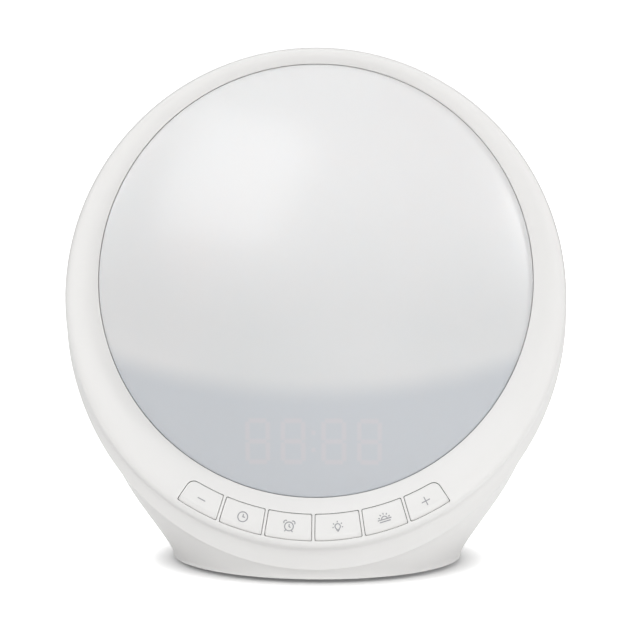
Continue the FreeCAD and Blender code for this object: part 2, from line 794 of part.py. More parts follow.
def digit(x):
    strokes = []
    stroke_w = DIGIT_WIDE - SEGMENT
    stroke_h = (DIGIT_TALL - SEGMENT) / 2
    for level in (-1, 0, 1):
        bar = segment(stroke_w)
        bar.translate(V(x, DISPLAY_RISE + level * stroke_h, SHROUD_TOP - 0.4))
        strokes.append(bar)
    for side in (-1, 1):
        for level in (-1, 1):
            bar = segment(stroke_h)
            bar.rotate(V(0, 0, 0), V(0, 0, 1), 90)
            bar.translate(V(x + side * stroke_w / 2, DISPLAY_RISE + level * stroke_h / 2, SHROUD_TOP - 0.4))
            strokes.append(bar)
    return strokes


def display_digits():
    strokes = []
    for place in (-1.5, -0.5, 0.5, 1.5):
        side = -1 if place < 0 else 1
        strokes += digit(place * DIGIT_PITCH + side * (COLON_GAP - 1.5) / 2)
    for level in (-1, 1):
        strokes.append(post(0, DISPLAY_RISE + level * DIGIT_TALL / 5, SHROUD_TOP - 0.4, SEGMENT / 2, SEGMENT_THICK))
    return on_head(Part.makeCompound(strokes))


def lamp_board():
    return on_head(post(0, LAMP_BOARD_RISE, DISH_FLOOR + SEAT_GAP, LAMP_BOARD_R, BOARD_THICK, INNER_SIDES))


def lamp_leds():
    leds = []
    base = DISH_FLOOR + SEAT_GAP + BOARD_THICK
    half = LED_SIDE / 2
    for radius, count in LED_RINGS:
        for index in range(count):
            turn = 2 * math.pi * index / count
            x = radius * math.cos(turn)
            rise = LAMP_BOARD_RISE + radius * math.sin(turn)
            leds.append(block(x - half, x + half, rise - half, rise + half, base, base + LED_HEIGHT))
    return on_head(Part.makeCompound(leds))


def main_board():
    half = MAIN_WIDE / 2
    board = block(-half, half, MAIN_LOW, MAIN_HIGH, MAIN_BOARD_TOP - BOARD_THICK, MAIN_BOARD_TOP)
    holes = [post(x, rise, MAIN_BOARD_TOP - 5, 1.1, 10) for x, rise in MAIN_POSTS]
    return on_head(board.cut(Part.makeCompound(holes)))


def on_board_back(x, rise, wide, tall, height):
    low = MAIN_BOARD_TOP - BOARD_THICK - height
    return block(x - wide / 2, x + wide / 2, rise - tall / 2, rise + tall / 2, low, low + height)


def control_chip():
    return on_head(on_board_back(-8, -54, 10, 10, 1.6))


def sound_chip():
    return on_head(on_board_back(14, -50, 5, 4, 1.5))


def clock_crystal():
    return on_head(on_board_back(-20, -48, 3.2, 8, 2.4))


def board_capacitors():
    low = MAIN_BOARD_TOP - BOARD_THICK
    cans = [post(x, rise, low - 7, 2.5, 7, 16) for x, rise in ((25, -62), (32, -62), (-26, -62))]
    return on_head(Part.makeCompound(cans))


def board_sockets():
    places = [(-38, -64, 8, 5, 5), (6, -64, 10, 5, 5), (40, -60, 5, 8, 5)]
    return on_head(Part.makeCompound([on_board_back(*row) for row in places]))


def key_board():
    """Crescent board under the keys."""
    low = SWITCH_FOOT - BOARD_THICK
    outer = disc(0, 0, low, 88.2, BOARD_THICK)
    inner = disc(0, OPENING_RISE, low - 1, OPENING_R + 2.2, BOARD_THICK + 2)
    board = outer.cut(inner)
    keep = block(-60, 60, -95, -60, low - 1, 5)
    board = board.common(keep)
    holes = [post(x, rise, low - 1, 1.1, 5) for x, rise in KEY_BOARD_POSTS]
    return on_head(board.cut(Part.makeCompound(holes)))


def screw(x, y, z, length, head_r, head_height):
    """A pan-head screw that points up, with a cross recess below."""
    body = post(0, 0, 0, PILOT_R, length).fuse(post(0, 0, -head_height, head_r, head_height, 16))
    slot = head_r * 0.62
    recess = CROSS_DEEP + 1
    cross = block(-slot, slot, -0.3, 0.3, -head_height - 1, -head_height - 1 + recess)
    cross = cross.fuse(block(-0.3, 0.3, -slot, slot, -head_height - 1, -head_height - 1 + recess))
    body = body.cut(cross)
    body.translate(V(x, y, z))
    return body


def case_screws():
    seats = [(x, rise, end - SEAT_GAP - WELL_FLOOR) for x, rise, end in CASE_POSTS]
    return on_head(Part.makeCompound([screw(x, y, z, 8.0, 2.1, 1.6) for x, y, z in seats]))


def dish_screws():
    seat = DISH_RIM_TOP - DISH_WALL
    return on_head(Part.makeCompound([screw(x, y, seat, 6.0, 1.9, 1.4) for x, y in ear_places()]))


def board_screws():
    screws = [screw(x, y, MAIN_BOARD_TOP - BOARD_THICK, 6.0, 1.9, 1.4) for x, y in MAIN_POSTS]
    screws += [screw(x, y, SWITCH_FOOT - BOARD_THICK, 7.0, 1.9, 1.4) for x, y in KEY_BOARD_POSTS]
    return on_head(Part.makeCompound(screws))


def base_screws():
    return Part.makeCompound([screw(x, y, FOOT_HEIGHT + 1.2, 10.0, 2.1, 1.1) for x, y in BASE_SCREWS])


def dc_jack():
    """Barrel inlet: a block behind the wall with a round nose in the wall's hole."""
    nose_end = INLET_FACE_Y
    body_y = nose_end - INLET_BODY
    body = block(-5, 5, body_y, 27.9, INLET_Z - 5.5, INLET_Z + 5.5)
    nose = along_y(0, 27, INLET_Z, INLET_NOSE_R, nose_end - 27)
    bore = along_y(0, nose_end - INLET_DEEP, INLET_Z, INLET_BORE_R, INLET_DEEP + 5)
    return body.fuse(nose).cut(bore)


def dc_jack_pin():
    start = INLET_FACE_Y - INLET_DEEP
    return along_y(0, start, INLET_Z, INLET_PIN_R, INLET_DEEP - 1.0)


def base_plate():
    """Plate that closes the foot, with the cup for the backup cell."""
    middle_y = fan_hinge()[0].y + FAN_NEAR_AT_FOOT + FOOT_HALF_DEPTH
    half_width = FOOT_HALF_WIDTH - WALL - BASE_GAP
    half_depth = FOOT_HALF_DEPTH - WALL - BASE_GAP
    centre = V(0, middle_y, FOOT_HEIGHT)
    edge = flat_sided(centre, V(1, 0, 0), V(0, 1, 0), half_width, half_depth, INNER_SIDES)
    plate = Part.Face(polygon(edge)).extrude(V(0, 0, BASE_THICK))
    plate = plate.fuse(post(0, CELL_Y, FOOT_HEIGHT + 1, CUP_R, CUP_TOP - FOOT_HEIGHT - 1, 32))
    cuts = [disc(0, CELL_Y, 0, CAP_R + CAP_GAP, CAP_SEAT)]
    cuts.append(post(0, CELL_Y, 0, CELL_R + 0.4, CUP_TOP - 1.4, 32))
    for index in range(CAP_LUGS):
        cuts += lug_slots(index * 360.0 / CAP_LUGS)
    for x, y in BASE_SCREWS:
        cuts.append(post(x, y, 0, 1.1, 10))
        cuts.append(post(x, y, 0, 2.5, FOOT_HEIGHT + 1.2, 16))
    return plate.cut(Part.makeCompound(cuts))


def ring_piece(start, sweep, inner, outer, low, height):
    """Part of a flat ring about the cell's axis, from one angle over a sweep."""
    ring = Part.makeCylinder(outer, height, V(0, 0, low), V(0, 0, 1), sweep)
    ring = ring.cut(Part.makeCylinder(inner, height + 2, V(0, 0, low - 1)))
    ring.rotate(V(0, 0, 0), V(0, 0, 1), start)
    ring.translate(V(0, CELL_Y, 0))
    return ring


def lug_slots(angle):
    """A way in for one lug and the groove it turns along."""
    half = LUG_SWEEP / 2 + 2.0
    inner = CAP_R - 1
    outer = CAP_R + LUG_REACH + 0.3
    groove = ring_piece(angle - half, 2 * half + CAP_TURN, inner, outer, LUG_LOW - 0.25, LUG_THICK + 0.5)
    way_in = ring_piece(angle - half + CAP_TURN, 2 * half, inner, outer, 0, LUG_LOW + 0.5)
    return [groove, way_in]


def cell_cap():
    cap = disc(0, CELL_Y, FOOT_HEIGHT + 0.1, CAP_R, CAP_SEAT - FOOT_HEIGHT - 0.25)
    lugs = []
    for index in range(CAP_LUGS):
        start = index * 360.0 / CAP_LUGS - LUG_SWEEP / 2
        lugs.append(ring_piece(start, LUG_SWEEP, CAP_R - 0.5, CAP_R + LUG_REACH, LUG_LOW, LUG_THICK))
    slot = block(-7.0, 7.0, CELL_Y - 0.9, CELL_Y + 0.9, 0, FOOT_HEIGHT + 1.2)
    return cap.fuse(fused(lugs)).cut(slot)


def coin_cell():
    return post(0, CELL_Y, CELL_FLOOR, CELL_R, CELL_THICK, 32)


def cell_contacts():
    """Two leaf contacts over the cell, in the roof of the cup."""
    low = CELL_FLOOR + CELL_THICK
    leaf = block(-2.0, 2.0, CELL_Y - 7, CELL_Y + 7, low, low + 0.4)
    side = block(CELL_R + 0.02, CELL_R + 0.22, CELL_Y - 1, CELL_Y + 1, CELL_FLOOR, low)
    return Part.makeCompound([leaf, side])


def rubber_feet():
    return Part.makeCompound([disc(x, y, 0, FOOT_PAD_R, FOOT_HEIGHT) for x, y in FOOT_PADS])


PIECES = {
    "front_bezel": front_bezel,
    "light_dome": light_dome,
    "rear_housing": rear_housing,
    "speaker_grille": speaker_grille,
    "base_plate": base_plate,
    "rubber_feet": rubber_feet,
    "reflector_dish": reflector_dish,
    "display_shroud": display_shroud,
    "display_module": display_module,
    "display_digits": display_digits,
    "lamp_board": lamp_board,
    "lamp_leds": lamp_leds,
    "main_board": main_board,
    "control_chip": control_chip,
    "sound_chip": sound_chip,
    "clock_crystal": clock_crystal,
    "board_capacitors": board_capacitors,
    "board_sockets": board_sockets,
    "key_board": key_board,
    "switch_bodies": switch_bodies,
    "speaker_basket": speaker_basket,
    "speaker_magnet": speaker_magnet,
    "speaker_cone": speaker_cone,
    "dc_jack": dc_jack,
    "dc_jack_pin": dc_jack_pin,
    "cell_cap": cell_cap,
    "coin_cell": coin_cell,
    "cell_contacts": cell_contacts,
    "case_screws": case_screws,
    "dish_screws": dish_screws,
    "board_screws": board_screws,
    "base_screws": base_screws,
}


def main():
    os.makedirs("parts", exist_ok=True)
    for name, make in PIECES.items():
        make().exportStep("parts/" + name + ".step")
    key_top = front_solid()
    key_top.translate(V(0, 0, -KEY_SINK))
    for index, name in enumerate(KEY_NAMES):
        on_head(key(index, key_top)).exportStep("parts/" + name + "_key.step")
        on_head(plunger(index)).exportStep("parts/" + name + "_plunger.step")


main()
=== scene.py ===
import bmesh
import bpy
import math
from mathutils import Matrix, Vector
from mathutils.bvhtree import BVHTree


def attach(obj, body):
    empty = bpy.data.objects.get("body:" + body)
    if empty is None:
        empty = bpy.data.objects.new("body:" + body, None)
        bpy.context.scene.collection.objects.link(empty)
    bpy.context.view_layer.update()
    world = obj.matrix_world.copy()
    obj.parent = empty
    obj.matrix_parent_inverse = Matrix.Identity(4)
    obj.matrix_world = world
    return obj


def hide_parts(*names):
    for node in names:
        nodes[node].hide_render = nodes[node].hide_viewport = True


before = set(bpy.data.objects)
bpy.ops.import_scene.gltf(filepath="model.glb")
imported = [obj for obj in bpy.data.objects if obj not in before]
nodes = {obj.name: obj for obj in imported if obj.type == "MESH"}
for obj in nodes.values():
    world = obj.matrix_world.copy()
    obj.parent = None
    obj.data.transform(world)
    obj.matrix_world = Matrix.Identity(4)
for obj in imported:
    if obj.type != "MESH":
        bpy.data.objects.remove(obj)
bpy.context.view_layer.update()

MM = 0.001

# Head: the ring, the dome and the keys share a plane tilted back from upright. Sizes are in millimetres.
HEAD_TILT = 14.0
HEAD_Y = -25.0
HEAD_Z = 102.8
RING_R = 90.0
RING_SLIM = 11.9
OPENING_R = RING_R - RING_SLIM
OPENING_RISE = 6.2
PARTING_DEPTH = 10.0
PARTING_GAP = 0.2
PARTING_HALF_WIDTH = 90.2
PARTING_HALF_HEIGHT = 93.8
PARTING_DROP = 3.8
WALL = 2.2
FOOT_HEIGHT = 1.5
FOOT_HALF_WIDTH = 53.8
FOOT_HALF_DEPTH = 37.0
FAN_NEAR_AT_FOOT = 3.0

# Control rows of the swept forms, as in the solids. Ring: share of its width and height. Chin and hollow:
# lowest point, highest point, half width and height. Back: fan angle, reach and half width.
RING_SECTION = [(1.0, -3.6), (0.88, -2.6), (0.68, -1.1), (0.45, 0.0), (0.24, 0.45), (0.07, -0.2), (0.0, -2.2)]
CHIN_SECTION = [(-90.3, 89.8, 89.5, -4.6), (-91.0, 89.85, 89.7, -6.6), (-94.0, 89.95, 90.0, -8.2)]
HOLLOW_SECTION = [(-88.4, 87.6, 87.4, -5.0), (-79.0, 86.8, 83.4, -2.9)]
HOLLOW_TOP = -5.4
OPENING_WALL = 2.0
BACK_SECTION = [
    (71.6, 192.3, 90.0), (65.0, 180.3, 87.5), (56.8, 153.5, 82.5), (46.5, 122.0, 76.0),
    (33.4, 97.0, 67.5), (16.7, 82.0, 59.3), (6.0, 78.0, 54.8), (2.4, 77.1, 53.9),
]

DOME_GAP = 0.18
DOME_R = OPENING_R - DOME_GAP
DOME_HEIGHT = 22.0
DOME_EDGE = -4.2
DOME_WALL = 2.0
DOME_EDGE_ROUND = 0.5
DOME_FLANGE_R = 81.2
DOME_FLANGE_TOP = -9.0
DOME_FLANGE_THICK = 1.6
DOME_POLE_R = 0.02
DOME_STEPS = 60
DOME_EDGE_STEPS = 5
DOME_INNER_STEPS = 40

KEY_NAMES = ["minus", "clock", "alarm", "light", "sunrise", "plus"]
LAST_KEY = len(KEY_NAMES) - 1
KEY_SHARE_LOW = 0.154
KEY_SHARE_HIGH = 0.688
KEY_GAP = 0.18
KEY_LOW_GAP = 0.08
KEY_RIB = 0.9
KEY_FOCUS = 32.0
KEY_SPLITS = [-16.9, -8.7, 0.0, 8.7, 16.9]
KEY_END_ANGLE = 33.8
KEY_SINK = 0.12
KEY_FLOOR = -6.0
END_KEY_ROUND = 2.8
KEY_ROUND = 0.55
KEY_EDGE_ROUND = 0.3
KEY_BEVEL_WIDE = 2.0
KEY_BEVEL_DEEP = 0.66
KEY_POINTS = 180
KEY_ARC_POINTS = 24
KEY_SIDE_POINTS = 12
KEY_TOP_STEPS = 24
KEY_EDGE_INSETS = [0.0, 0.03, 0.08, 0.15, 0.24, 0.34, 0.46]
KEY_SPINE_ENDS = (0.42, 0.58)
CORNER_STEPS = 8
CORNER_MATCH = 1e-3
WINDOW_LOW = -14.0
WINDOW_HIGH = 6.0

# A distance from the key's edge at which its top is no longer rounded.
KEY_INLAND = 9.0

ICON_STROKE = 0.36
ICON_DROP = 0.5
ICON_LAYER = 0.05
ICON_SHARE = 0.42
ICON_MITRE = 0.6

SPEAKER_Z = 98.0
SPEAKER_R = 21.0
SPEAKER_FACE_Y = 29.0
SPEAKER_TUBE_WALL = 1.6
SPEAKER_TUBE_LENGTH = 30.0
SPEAKER_WAY_LENGTH = 80.0
GRILLE_Y = 38.0
GRILLE_R = 20.0
GRILLE_LIP = 1.0
GRILLE_GAP = 0.2
GRILLE_SEAT_LENGTH = 20.0
GRILLE_SIDES = 96
INLET_Z = 22.0
INLET_NOSE_R = 4.0
INLET_GAP = 0.15
INLET_HOLE_Y = 10.0
INLET_BOSS_WALL = 2.0
INLET_BOSS_Y = 28.0
INLET_BOSS_LENGTH = 20.0
THROUGH = 60.0
TUBE_TRIM = 0.3
CASE_POSTS = [(-50.0, 40.0, -31.0), (50.0, 40.0, -31.0), (-56.0, -18.0, -44.0), (56.0, -18.0, -44.0)]
WELL_R = 3.9
WELL_BORE_R = 2.6
WELL_FLOOR = 1.8
SEAT_GAP = 0.05

AROUND = 256
FRONT_ROWS = 96
BACK_ROWS = 96

# The smooth skins lie this far inside the solids' flatter bands, so that they never stand out of them.
BACK_INSET = 0.4
FRONT_INSET = 0.05

HEAD_TURN = Matrix.Rotation(math.radians(90.0 - HEAD_TILT), 4, "X")
HEAD = Matrix.Translation((0, HEAD_Y * MM, HEAD_Z * MM)) @ HEAD_TURN
HEAD_BACK = -(HEAD.to_3x3() @ Vector((0, 0, 1)))


# Mesh helpers.


def on_head(points):
    """Points (x, rise, height over the crest) in millimetres, moved to the head's place in metres."""
    return [HEAD @ (Vector(p) * MM) for p in points]


def mesh_object(name, points, faces):
    mesh = bpy.data.meshes.new(name)
    mesh.from_pydata([tuple(p) for p in points], [], faces)
    mesh.validate()
    mesh.update()
    made = bpy.data.objects.new(name, mesh)
    bpy.context.scene.collection.objects.link(made)
    return made


def smooth(made, angle):
    """Smooth shading, with sharp lines where faces meet at more than the angle."""
    made.data.shade_smooth()
    made.data.set_sharp_from_angle(angle=math.radians(angle))


def loop_faces(rows, columns, closed_rows):
    """Quads between rings of points, and from the last ring back to the first where rows close."""
    faces = []
    for row in range(rows if closed_rows else rows - 1):
        low = row * columns
        high = ((row + 1) % rows) * columns
        for i in range(columns):
            j = (i + 1) % columns
            faces.append((low + i, low + j, high + j, high + i))
    return faces


def ring_mesh(name, rings):
    """A closed skin through rings of equally many points, the last joined to the first."""
    columns = len(rings[0])
    points = [p for ring in rings for p in ring]
    return mesh_object(name, points, loop_faces(len(rings), columns, True))


def capped_mesh(name, rings):
    """A solid through rings, with a flat face on its first and last ring."""
    columns = len(rings[0])
    points = [p for ring in rings for p in ring]
    faces = loop_faces(len(rings), columns, False)
    faces.append(tuple(range(columns - 1, -1, -1)))
    faces.append(tuple(range((len(rings) - 1) * columns, len(rings) * columns)))
    return mesh_object(name, points, faces)


def outward(made):
    """Turn every face of a closed mesh to look outward."""
    work = bmesh.new()
    work.from_mesh(made.data)
    bmesh.ops.recalc_face_normals(work, faces=work.faces)
    work.to_mesh(made.data)
    work.free()


def combine(made, other, operation):
    """Join, cut or intersect one mesh with another, which is then removed."""
    outward(made)
    outward(other)
    tool = made.modifiers.new("combine", "BOOLEAN")
    tool.operation = operation
    tool.solver = "EXACT"
    tool.object = other
    bpy.context.view_layer.update()
    shaped = made.evaluated_get(bpy.context.evaluated_depsgraph_get())
    result = bpy.data.meshes.new_from_object(shaped)
    made.modifiers.clear()
    old = made.data
    made.data = result
    bpy.data.meshes.remove(old)
    bpy.data.objects.remove(other)


def blend(rows, count):
    """Points along the smooth curve (a clamped cubic) that a list of control rows describes."""
    last = len(rows) - 3
    knots = [0] * 3 + list(range(last + 1)) + [last] * 3
    points = []
    for step in range(count + 1):
        place = min(last * step / count, last - 1e-9)
        span = int(place) + 3
        work = [list(rows[span - 3 + i]) for i in range(4)]
        for level in range(1, 4):
            for i in range(3, level - 1, -1):
                low = knots[span - 3 + i]
                high = knots[span + 1 + i - level]
                share = (place - low) / (high - low)
                work[i] = [(1 - share) * p + share * q for p, q in zip(work[i - 1], work[i])]
        points.append(work[3])
    return points


def oval(centre, along, half_width, half_height):
    ring = []
    for i in range(AROUND):
        turn = 2 * math.pi * i / AROUND
        across = Vector((half_width * math.cos(turn), 0, 0))
        ring.append(centre + across + along * (half_height * math.sin(turn)))
    return ring


def flat_oval(low, high, half_width, height):
    """An oval parallel to the head's plane, in millimetres."""
    return oval(Vector((0, (low + high) / 2, height)), Vector((0, 1, 0)), half_width, (high - low) / 2)


def face_oval(low, high, half_width, height):
    return on_head(flat_oval(low, high, half_width, height))


def opening_oval(radius, height):
    return face_oval(OPENING_RISE - radius, OPENING_RISE + radius, radius, height)


def cylinder(name, start, way, radius, length, sides=48):
    """A round bar from start, in millimetres, along the direction way."""
    way = Vector(way).normalized()
    aside = way.orthogonal().normalized()
    other = way.cross(aside)
    rings = []
    for end in (0.0, length):
        centre = Vector(start) + way * end
        ring = []
        for i in range(sides):
            turn = 2 * math.pi * i / sides
            ring.append((centre + (aside * math.cos(turn) + other * math.sin(turn)) * radius) * MM)
        rings.append(ring)
    return capped_mesh(name, rings)


# Front shell.


def ring_row(share, height):
    radius = RING_R - RING_SLIM * share
    middle = OPENING_RISE * share
    return (middle - radius, middle + radius, radius, height)


def parting_row(inset):
    low = -PARTING_DROP - PARTING_HALF_HEIGHT + inset
    high = -PARTING_DROP + PARTING_HALF_HEIGHT - inset
    return (low, high, PARTING_HALF_WIDTH - inset, -PARTING_DEPTH)


def front_rows():
    rows = [ring_row(share, height) for share, height in RING_SECTION]
    rows += CHIN_SECTION + [parting_row(0.0)]
    inset = FRONT_INSET
    drawn_in = []
    for low, high, half_width, height in blend(rows, FRONT_ROWS):
        drawn_in.append((low + inset, high - inset, half_width - inset, height - inset))
    return drawn_in


def front_shell():
    rings = [face_oval(*row) for row in front_rows()]
    rings.append(face_oval(*parting_row(WALL)))
    rings += [face_oval(*row) for row in HOLLOW_SECTION]
    rings.append(opening_oval(OPENING_R + OPENING_WALL, HOLLOW_TOP))
    rings.append(opening_oval(OPENING_R + OPENING_WALL, DOME_FLANGE_TOP + SEAT_GAP))
    rings.append(opening_oval(OPENING_R, DOME_FLANGE_TOP + SEAT_GAP))
    return ring_mesh("front_bezel_skin", rings)


def height_finder():
    """The front surface, ready to be asked for its height over the crest plane."""
    points = []
    for row in front_rows():
        points += flat_oval(*row)
    return BVHTree.FromPolygons(points, loop_faces(FRONT_ROWS + 1, AROUND, False))


FRONT = height_finder()
ABOVE_FRONT = 30.0


def height_at(x, rise):
    hit = FRONT.ray_cast(Vector((x, rise, ABOVE_FRONT)), Vector((0, 0, -1)))[0]
    return hit.z if hit else 0.0


# Keys.


def side_line(focus, angle, shift):
    """A key's side: a point on it and its direction, fanned out from a focus on the middle line."""
    turn = math.radians(angle)
    way = Vector((math.sin(turn), -math.cos(turn)))
    aside = Vector((math.cos(turn), math.sin(turn)))
    return Vector((0, focus)) + aside * shift, way


def band_circle(share, grow):
    """Centre and radius of the circle that lies at a share of the ring's width."""
    return Vector((0, OPENING_RISE * share)), RING_R - RING_SLIM * share + grow


def meet(line, share, grow):
    """The point where a key's side reaches the circle at a share of the ring's width."""
    start, way = line
    centre, radius = band_circle(share, grow)
    away = start - centre
    b = away.dot(way)
    c = away.dot(away) - radius * radius
    return start + way * (-b + math.sqrt(b * b - c))


def key_corners(index, gap, low_gap):
    """Corners of a key's outline: low left, low right, high right, high left."""
    half_rib = KEY_RIB / 2
    if index == 0:
        left = side_line(0.0, -KEY_END_ANGLE, gap)
    else:
        left = side_line(KEY_FOCUS, KEY_SPLITS[index - 1], half_rib + gap)
    if index == LAST_KEY:
        right = side_line(0.0, KEY_END_ANGLE, -gap)
    else:
        right = side_line(KEY_FOCUS, KEY_SPLITS[index], -half_rib - gap)
    return [meet(left, KEY_SHARE_LOW, -low_gap), meet(right, KEY_SHARE_LOW, -low_gap),
            meet(right, KEY_SHARE_HIGH, gap), meet(left, KEY_SHARE_HIGH, gap)]


def arc_points(a, b, share, count):
    """Points from a towards b, round the middle of the circle at a share of the ring's width."""
    centre, _ = band_circle(share, 0.0)
    start = math.atan2(a.y - centre.y, a.x - centre.x)
    sweep = math.atan2(b.y - centre.y, b.x - centre.x) - start
    radius = (a - centre).length
    points = []
    for i in range(count):
        turn = start + sweep * i / count
        points.append(centre + Vector((math.cos(turn), math.sin(turn))) * radius)
    return points


def rounded(points, corners, radii):
    """A closed outline whose corners are replaced by arcs of the given radii."""
    outline = []
    count = len(points)
    for i in range(count):
        here = points[i]
        radius = 0.0
        near = False
        for corner, value in zip(corners, radii):
            away = (here - corner).length
            near = near or away < value
            if away < CORNER_MATCH:
                radius = value
        if radius == 0.0:
            if not near:
                outline.append(here)
            continue
        before = (points[i - 1] - here).normalized()
        after = (points[(i + 1) % count] - here).normalized()
        half = math.acos(max(-1.0, min(1.0, before.dot(after)))) / 2
        reach = radius / math.tan(half)
        centre = here + (before + after).normalized() * (radius / math.sin(half))
        start = here + before * reach - centre
        end = here + after * reach - centre
        turn = start.angle_signed(end)
        for step in range(CORNER_STEPS + 1):
            a = -turn * step / CORNER_STEPS
            outline.append(centre + Vector((start.x * math.cos(a) - start.y * math.sin(a),
                                            start.x * math.sin(a) + start.y * math.cos(a))))
    return outline


def even(outline, count):
    """The same closed outline with evenly spaced points."""
    lengths = [0.0]
    for i in range(len(outline)):
        lengths.append(lengths[-1] + (outline[(i + 1) % len(outline)] - outline[i]).length)
    points = []
    place = 0
    for i in range(count):
        want = lengths[-1] * i / count
        while lengths[place + 1] < want:
            place += 1
        share = (want - lengths[place]) / max(lengths[place + 1] - lengths[place], 1e-9)
        points.append(outline[place].lerp(outline[(place + 1) % len(outline)], share))
    return points


def key_outline(index, gap, low_gap):
    a, b, c, d = key_corners(index, gap, low_gap)
    points = arc_points(a, b, KEY_SHARE_LOW, KEY_ARC_POINTS)
    points += [b.lerp(c, i / KEY_SIDE_POINTS) for i in range(KEY_SIDE_POINTS)]
    points += arc_points(c, d, KEY_SHARE_HIGH, KEY_ARC_POINTS)
    points += [d.lerp(a, i / KEY_SIDE_POINTS) for i in range(KEY_SIDE_POINTS)]
    radii = [KEY_ROUND] * 4
    if index == 0:
        radii[3] = END_KEY_ROUND
    if index == LAST_KEY:
        radii[2] = END_KEY_ROUND
    return rounded(points, [a, b, c, d], radii)


def key_window(index):
    outline = key_outline(index, 0.0, 0.0)
    rings = []
    for height in (WINDOW_LOW, WINDOW_HIGH):
        rings.append(on_head([Vector((p.x, p.y, height)) for p in outline]))
    return capped_mesh("window", rings)


def key_height(x, rise, edge):
    """The key's own surface: just under the bezel's, rounded at its edges and sloped along its lower side."""
    height = height_at(x, rise) - KEY_SINK
    if edge < KEY_EDGE_ROUND:
        inside = KEY_EDGE_ROUND - edge
        height -= KEY_EDGE_ROUND - math.sqrt(max(0.0, KEY_EDGE_ROUND ** 2 - inside ** 2))
    centre, radius = band_circle(KEY_SHARE_LOW, -KEY_LOW_GAP)
    inward = radius - (Vector((x, rise)) - centre).length
    if inward < KEY_BEVEL_WIDE:
        height -= (1.0 - inward / KEY_BEVEL_WIDE) * KEY_BEVEL_DEEP
    return height


def key_cap(index, name):
    """The key's cap: a wall up from its floor, then a top that closes in on a short line in its middle."""
    outline = even(key_outline(index, KEY_GAP, KEY_LOW_GAP), KEY_POINTS)
    normals = []
    for i in range(KEY_POINTS):
        along = outline[(i + 1) % KEY_POINTS] - outline[i - 1]
        normals.append(Vector((-along.y, along.x)).normalized())
    a, b, c, d = key_corners(index, KEY_GAP, KEY_LOW_GAP)
    left = (a + d) / 2
    right = (b + c) / 2
    spine = [left.lerp(right, share) for share in KEY_SPINE_ENDS]
    rings = [[Vector((p.x, p.y, KEY_FLOOR)) for p in outline]]
    for inset in KEY_EDGE_INSETS:
        ring = [p + n * inset for p, n in zip(outline, normals)]
        rings.append([Vector((p.x, p.y, key_height(p.x, p.y, inset))) for p in ring])
    way = spine[1] - spine[0]
    for step in range(1, KEY_TOP_STEPS + 1):
        share = step / KEY_TOP_STEPS
        ring = []
        for p, n in zip(outline, normals):
            start = p + n * KEY_EDGE_INSETS[-1]
            along = max(0.0, min(1.0, (start - spine[0]).dot(way) / way.length_squared))
            q = start.lerp(spine[0] + way * along, share)
            ring.append(Vector((q.x, q.y, key_height(q.x, q.y, KEY_INLAND))))
        rings.append(ring)
    points = [p for ring in rings for p in on_head(ring)]
    faces = loop_faces(len(rings), KEY_POINTS, False)
    faces.append(tuple(range(KEY_POINTS - 1, -1, -1)))
    made = mesh_object(name + "_cap", points, faces)
    outward(made)
    smooth(made, 40.0)
    return made


# Icons, printed on the keys. Each is drawn flat and upright, in millimetres, as strokes.


def ring_stroke(x, y, radius, start=0.0, end=360.0, count=28):
    """An arc round (x, y), as one stroke."""
    points = []
    for i in range(count + 1):
        turn = math.radians(start + (end - start) * i / count)
        points.append((x + radius * math.cos(turn), y + radius * math.sin(turn)))
    return points


def rays(x, y, near, far, angles):
    """Short strokes that point away from (x, y)."""
    strokes = []
    for angle in angles:
        turn = math.radians(angle)
        strokes.append([(x + near * math.cos(turn), y + near * math.sin(turn)),
                        (x + far * math.cos(turn), y + far * math.sin(turn))])
    return strokes


def icon_strokes(name):
    if name == "minus":
        return [[(-1.5, 0), (1.5, 0)]]
    if name == "plus":
        return [[(-1.6, 0), (1.6, 0)], [(0, -1.6), (0, 1.6)]]
    if name == "clock":
        return [ring_stroke(0, 0, 1.75), [(0, 1.05), (0, 0), (0.8, 0)]]
    if name == "alarm":
        bells = [ring_stroke(-1.3, 1.35, 0.7, 60, 210, 10), ring_stroke(1.3, 1.35, 0.7, -30, 120, 10)]
        feet = [[(-1.0, -1.3), (-1.45, -1.85)], [(1.0, -1.3), (1.45, -1.85)]]
        return [ring_stroke(0, 0, 1.55), [(0, 0.85), (0, 0), (0.6, -0.35)]] + bells + feet
    if name == "light":
        bulb = ring_stroke(0, 0.15, 0.95, -60, 240, 20)
        neck = [[(-0.48, -0.68), (-0.42, -1.1), (0.42, -1.1), (0.48, -0.68)], [(-0.3, -1.5), (0.3, -1.5)]]
        return [bulb] + neck + rays(0, 0.15, 1.45, 1.95, (-10, 35, 90, 145, 190))
    sun = ring_stroke(0, -0.5, 1.05, 0, 180, 16)
    lines = [[(-2.5, -0.5), (2.5, -0.5)], [(-2.0, -1.3), (2.0, -1.3)]]
    return [sun] + lines + rays(0, -0.5, 1.65, 2.3, (22, 56, 90, 124, 158))


def ribbon(stroke, half):
    """Left and right edge points of a flat stroke."""
    sides = []
    for i, point in enumerate(stroke):
        here = Vector(point)
        before = here - Vector(stroke[i - 1]) if i > 0 else Vector(stroke[i + 1]) - here
        after = Vector(stroke[i + 1]) - here if i < len(stroke) - 1 else before
        way = (before.normalized() + after.normalized()).normalized()
        across = Vector((-way.y, way.x)) * (half / max(ICON_MITRE, before.normalized().dot(way)))
        sides.append((here + across, here - across))
    return sides


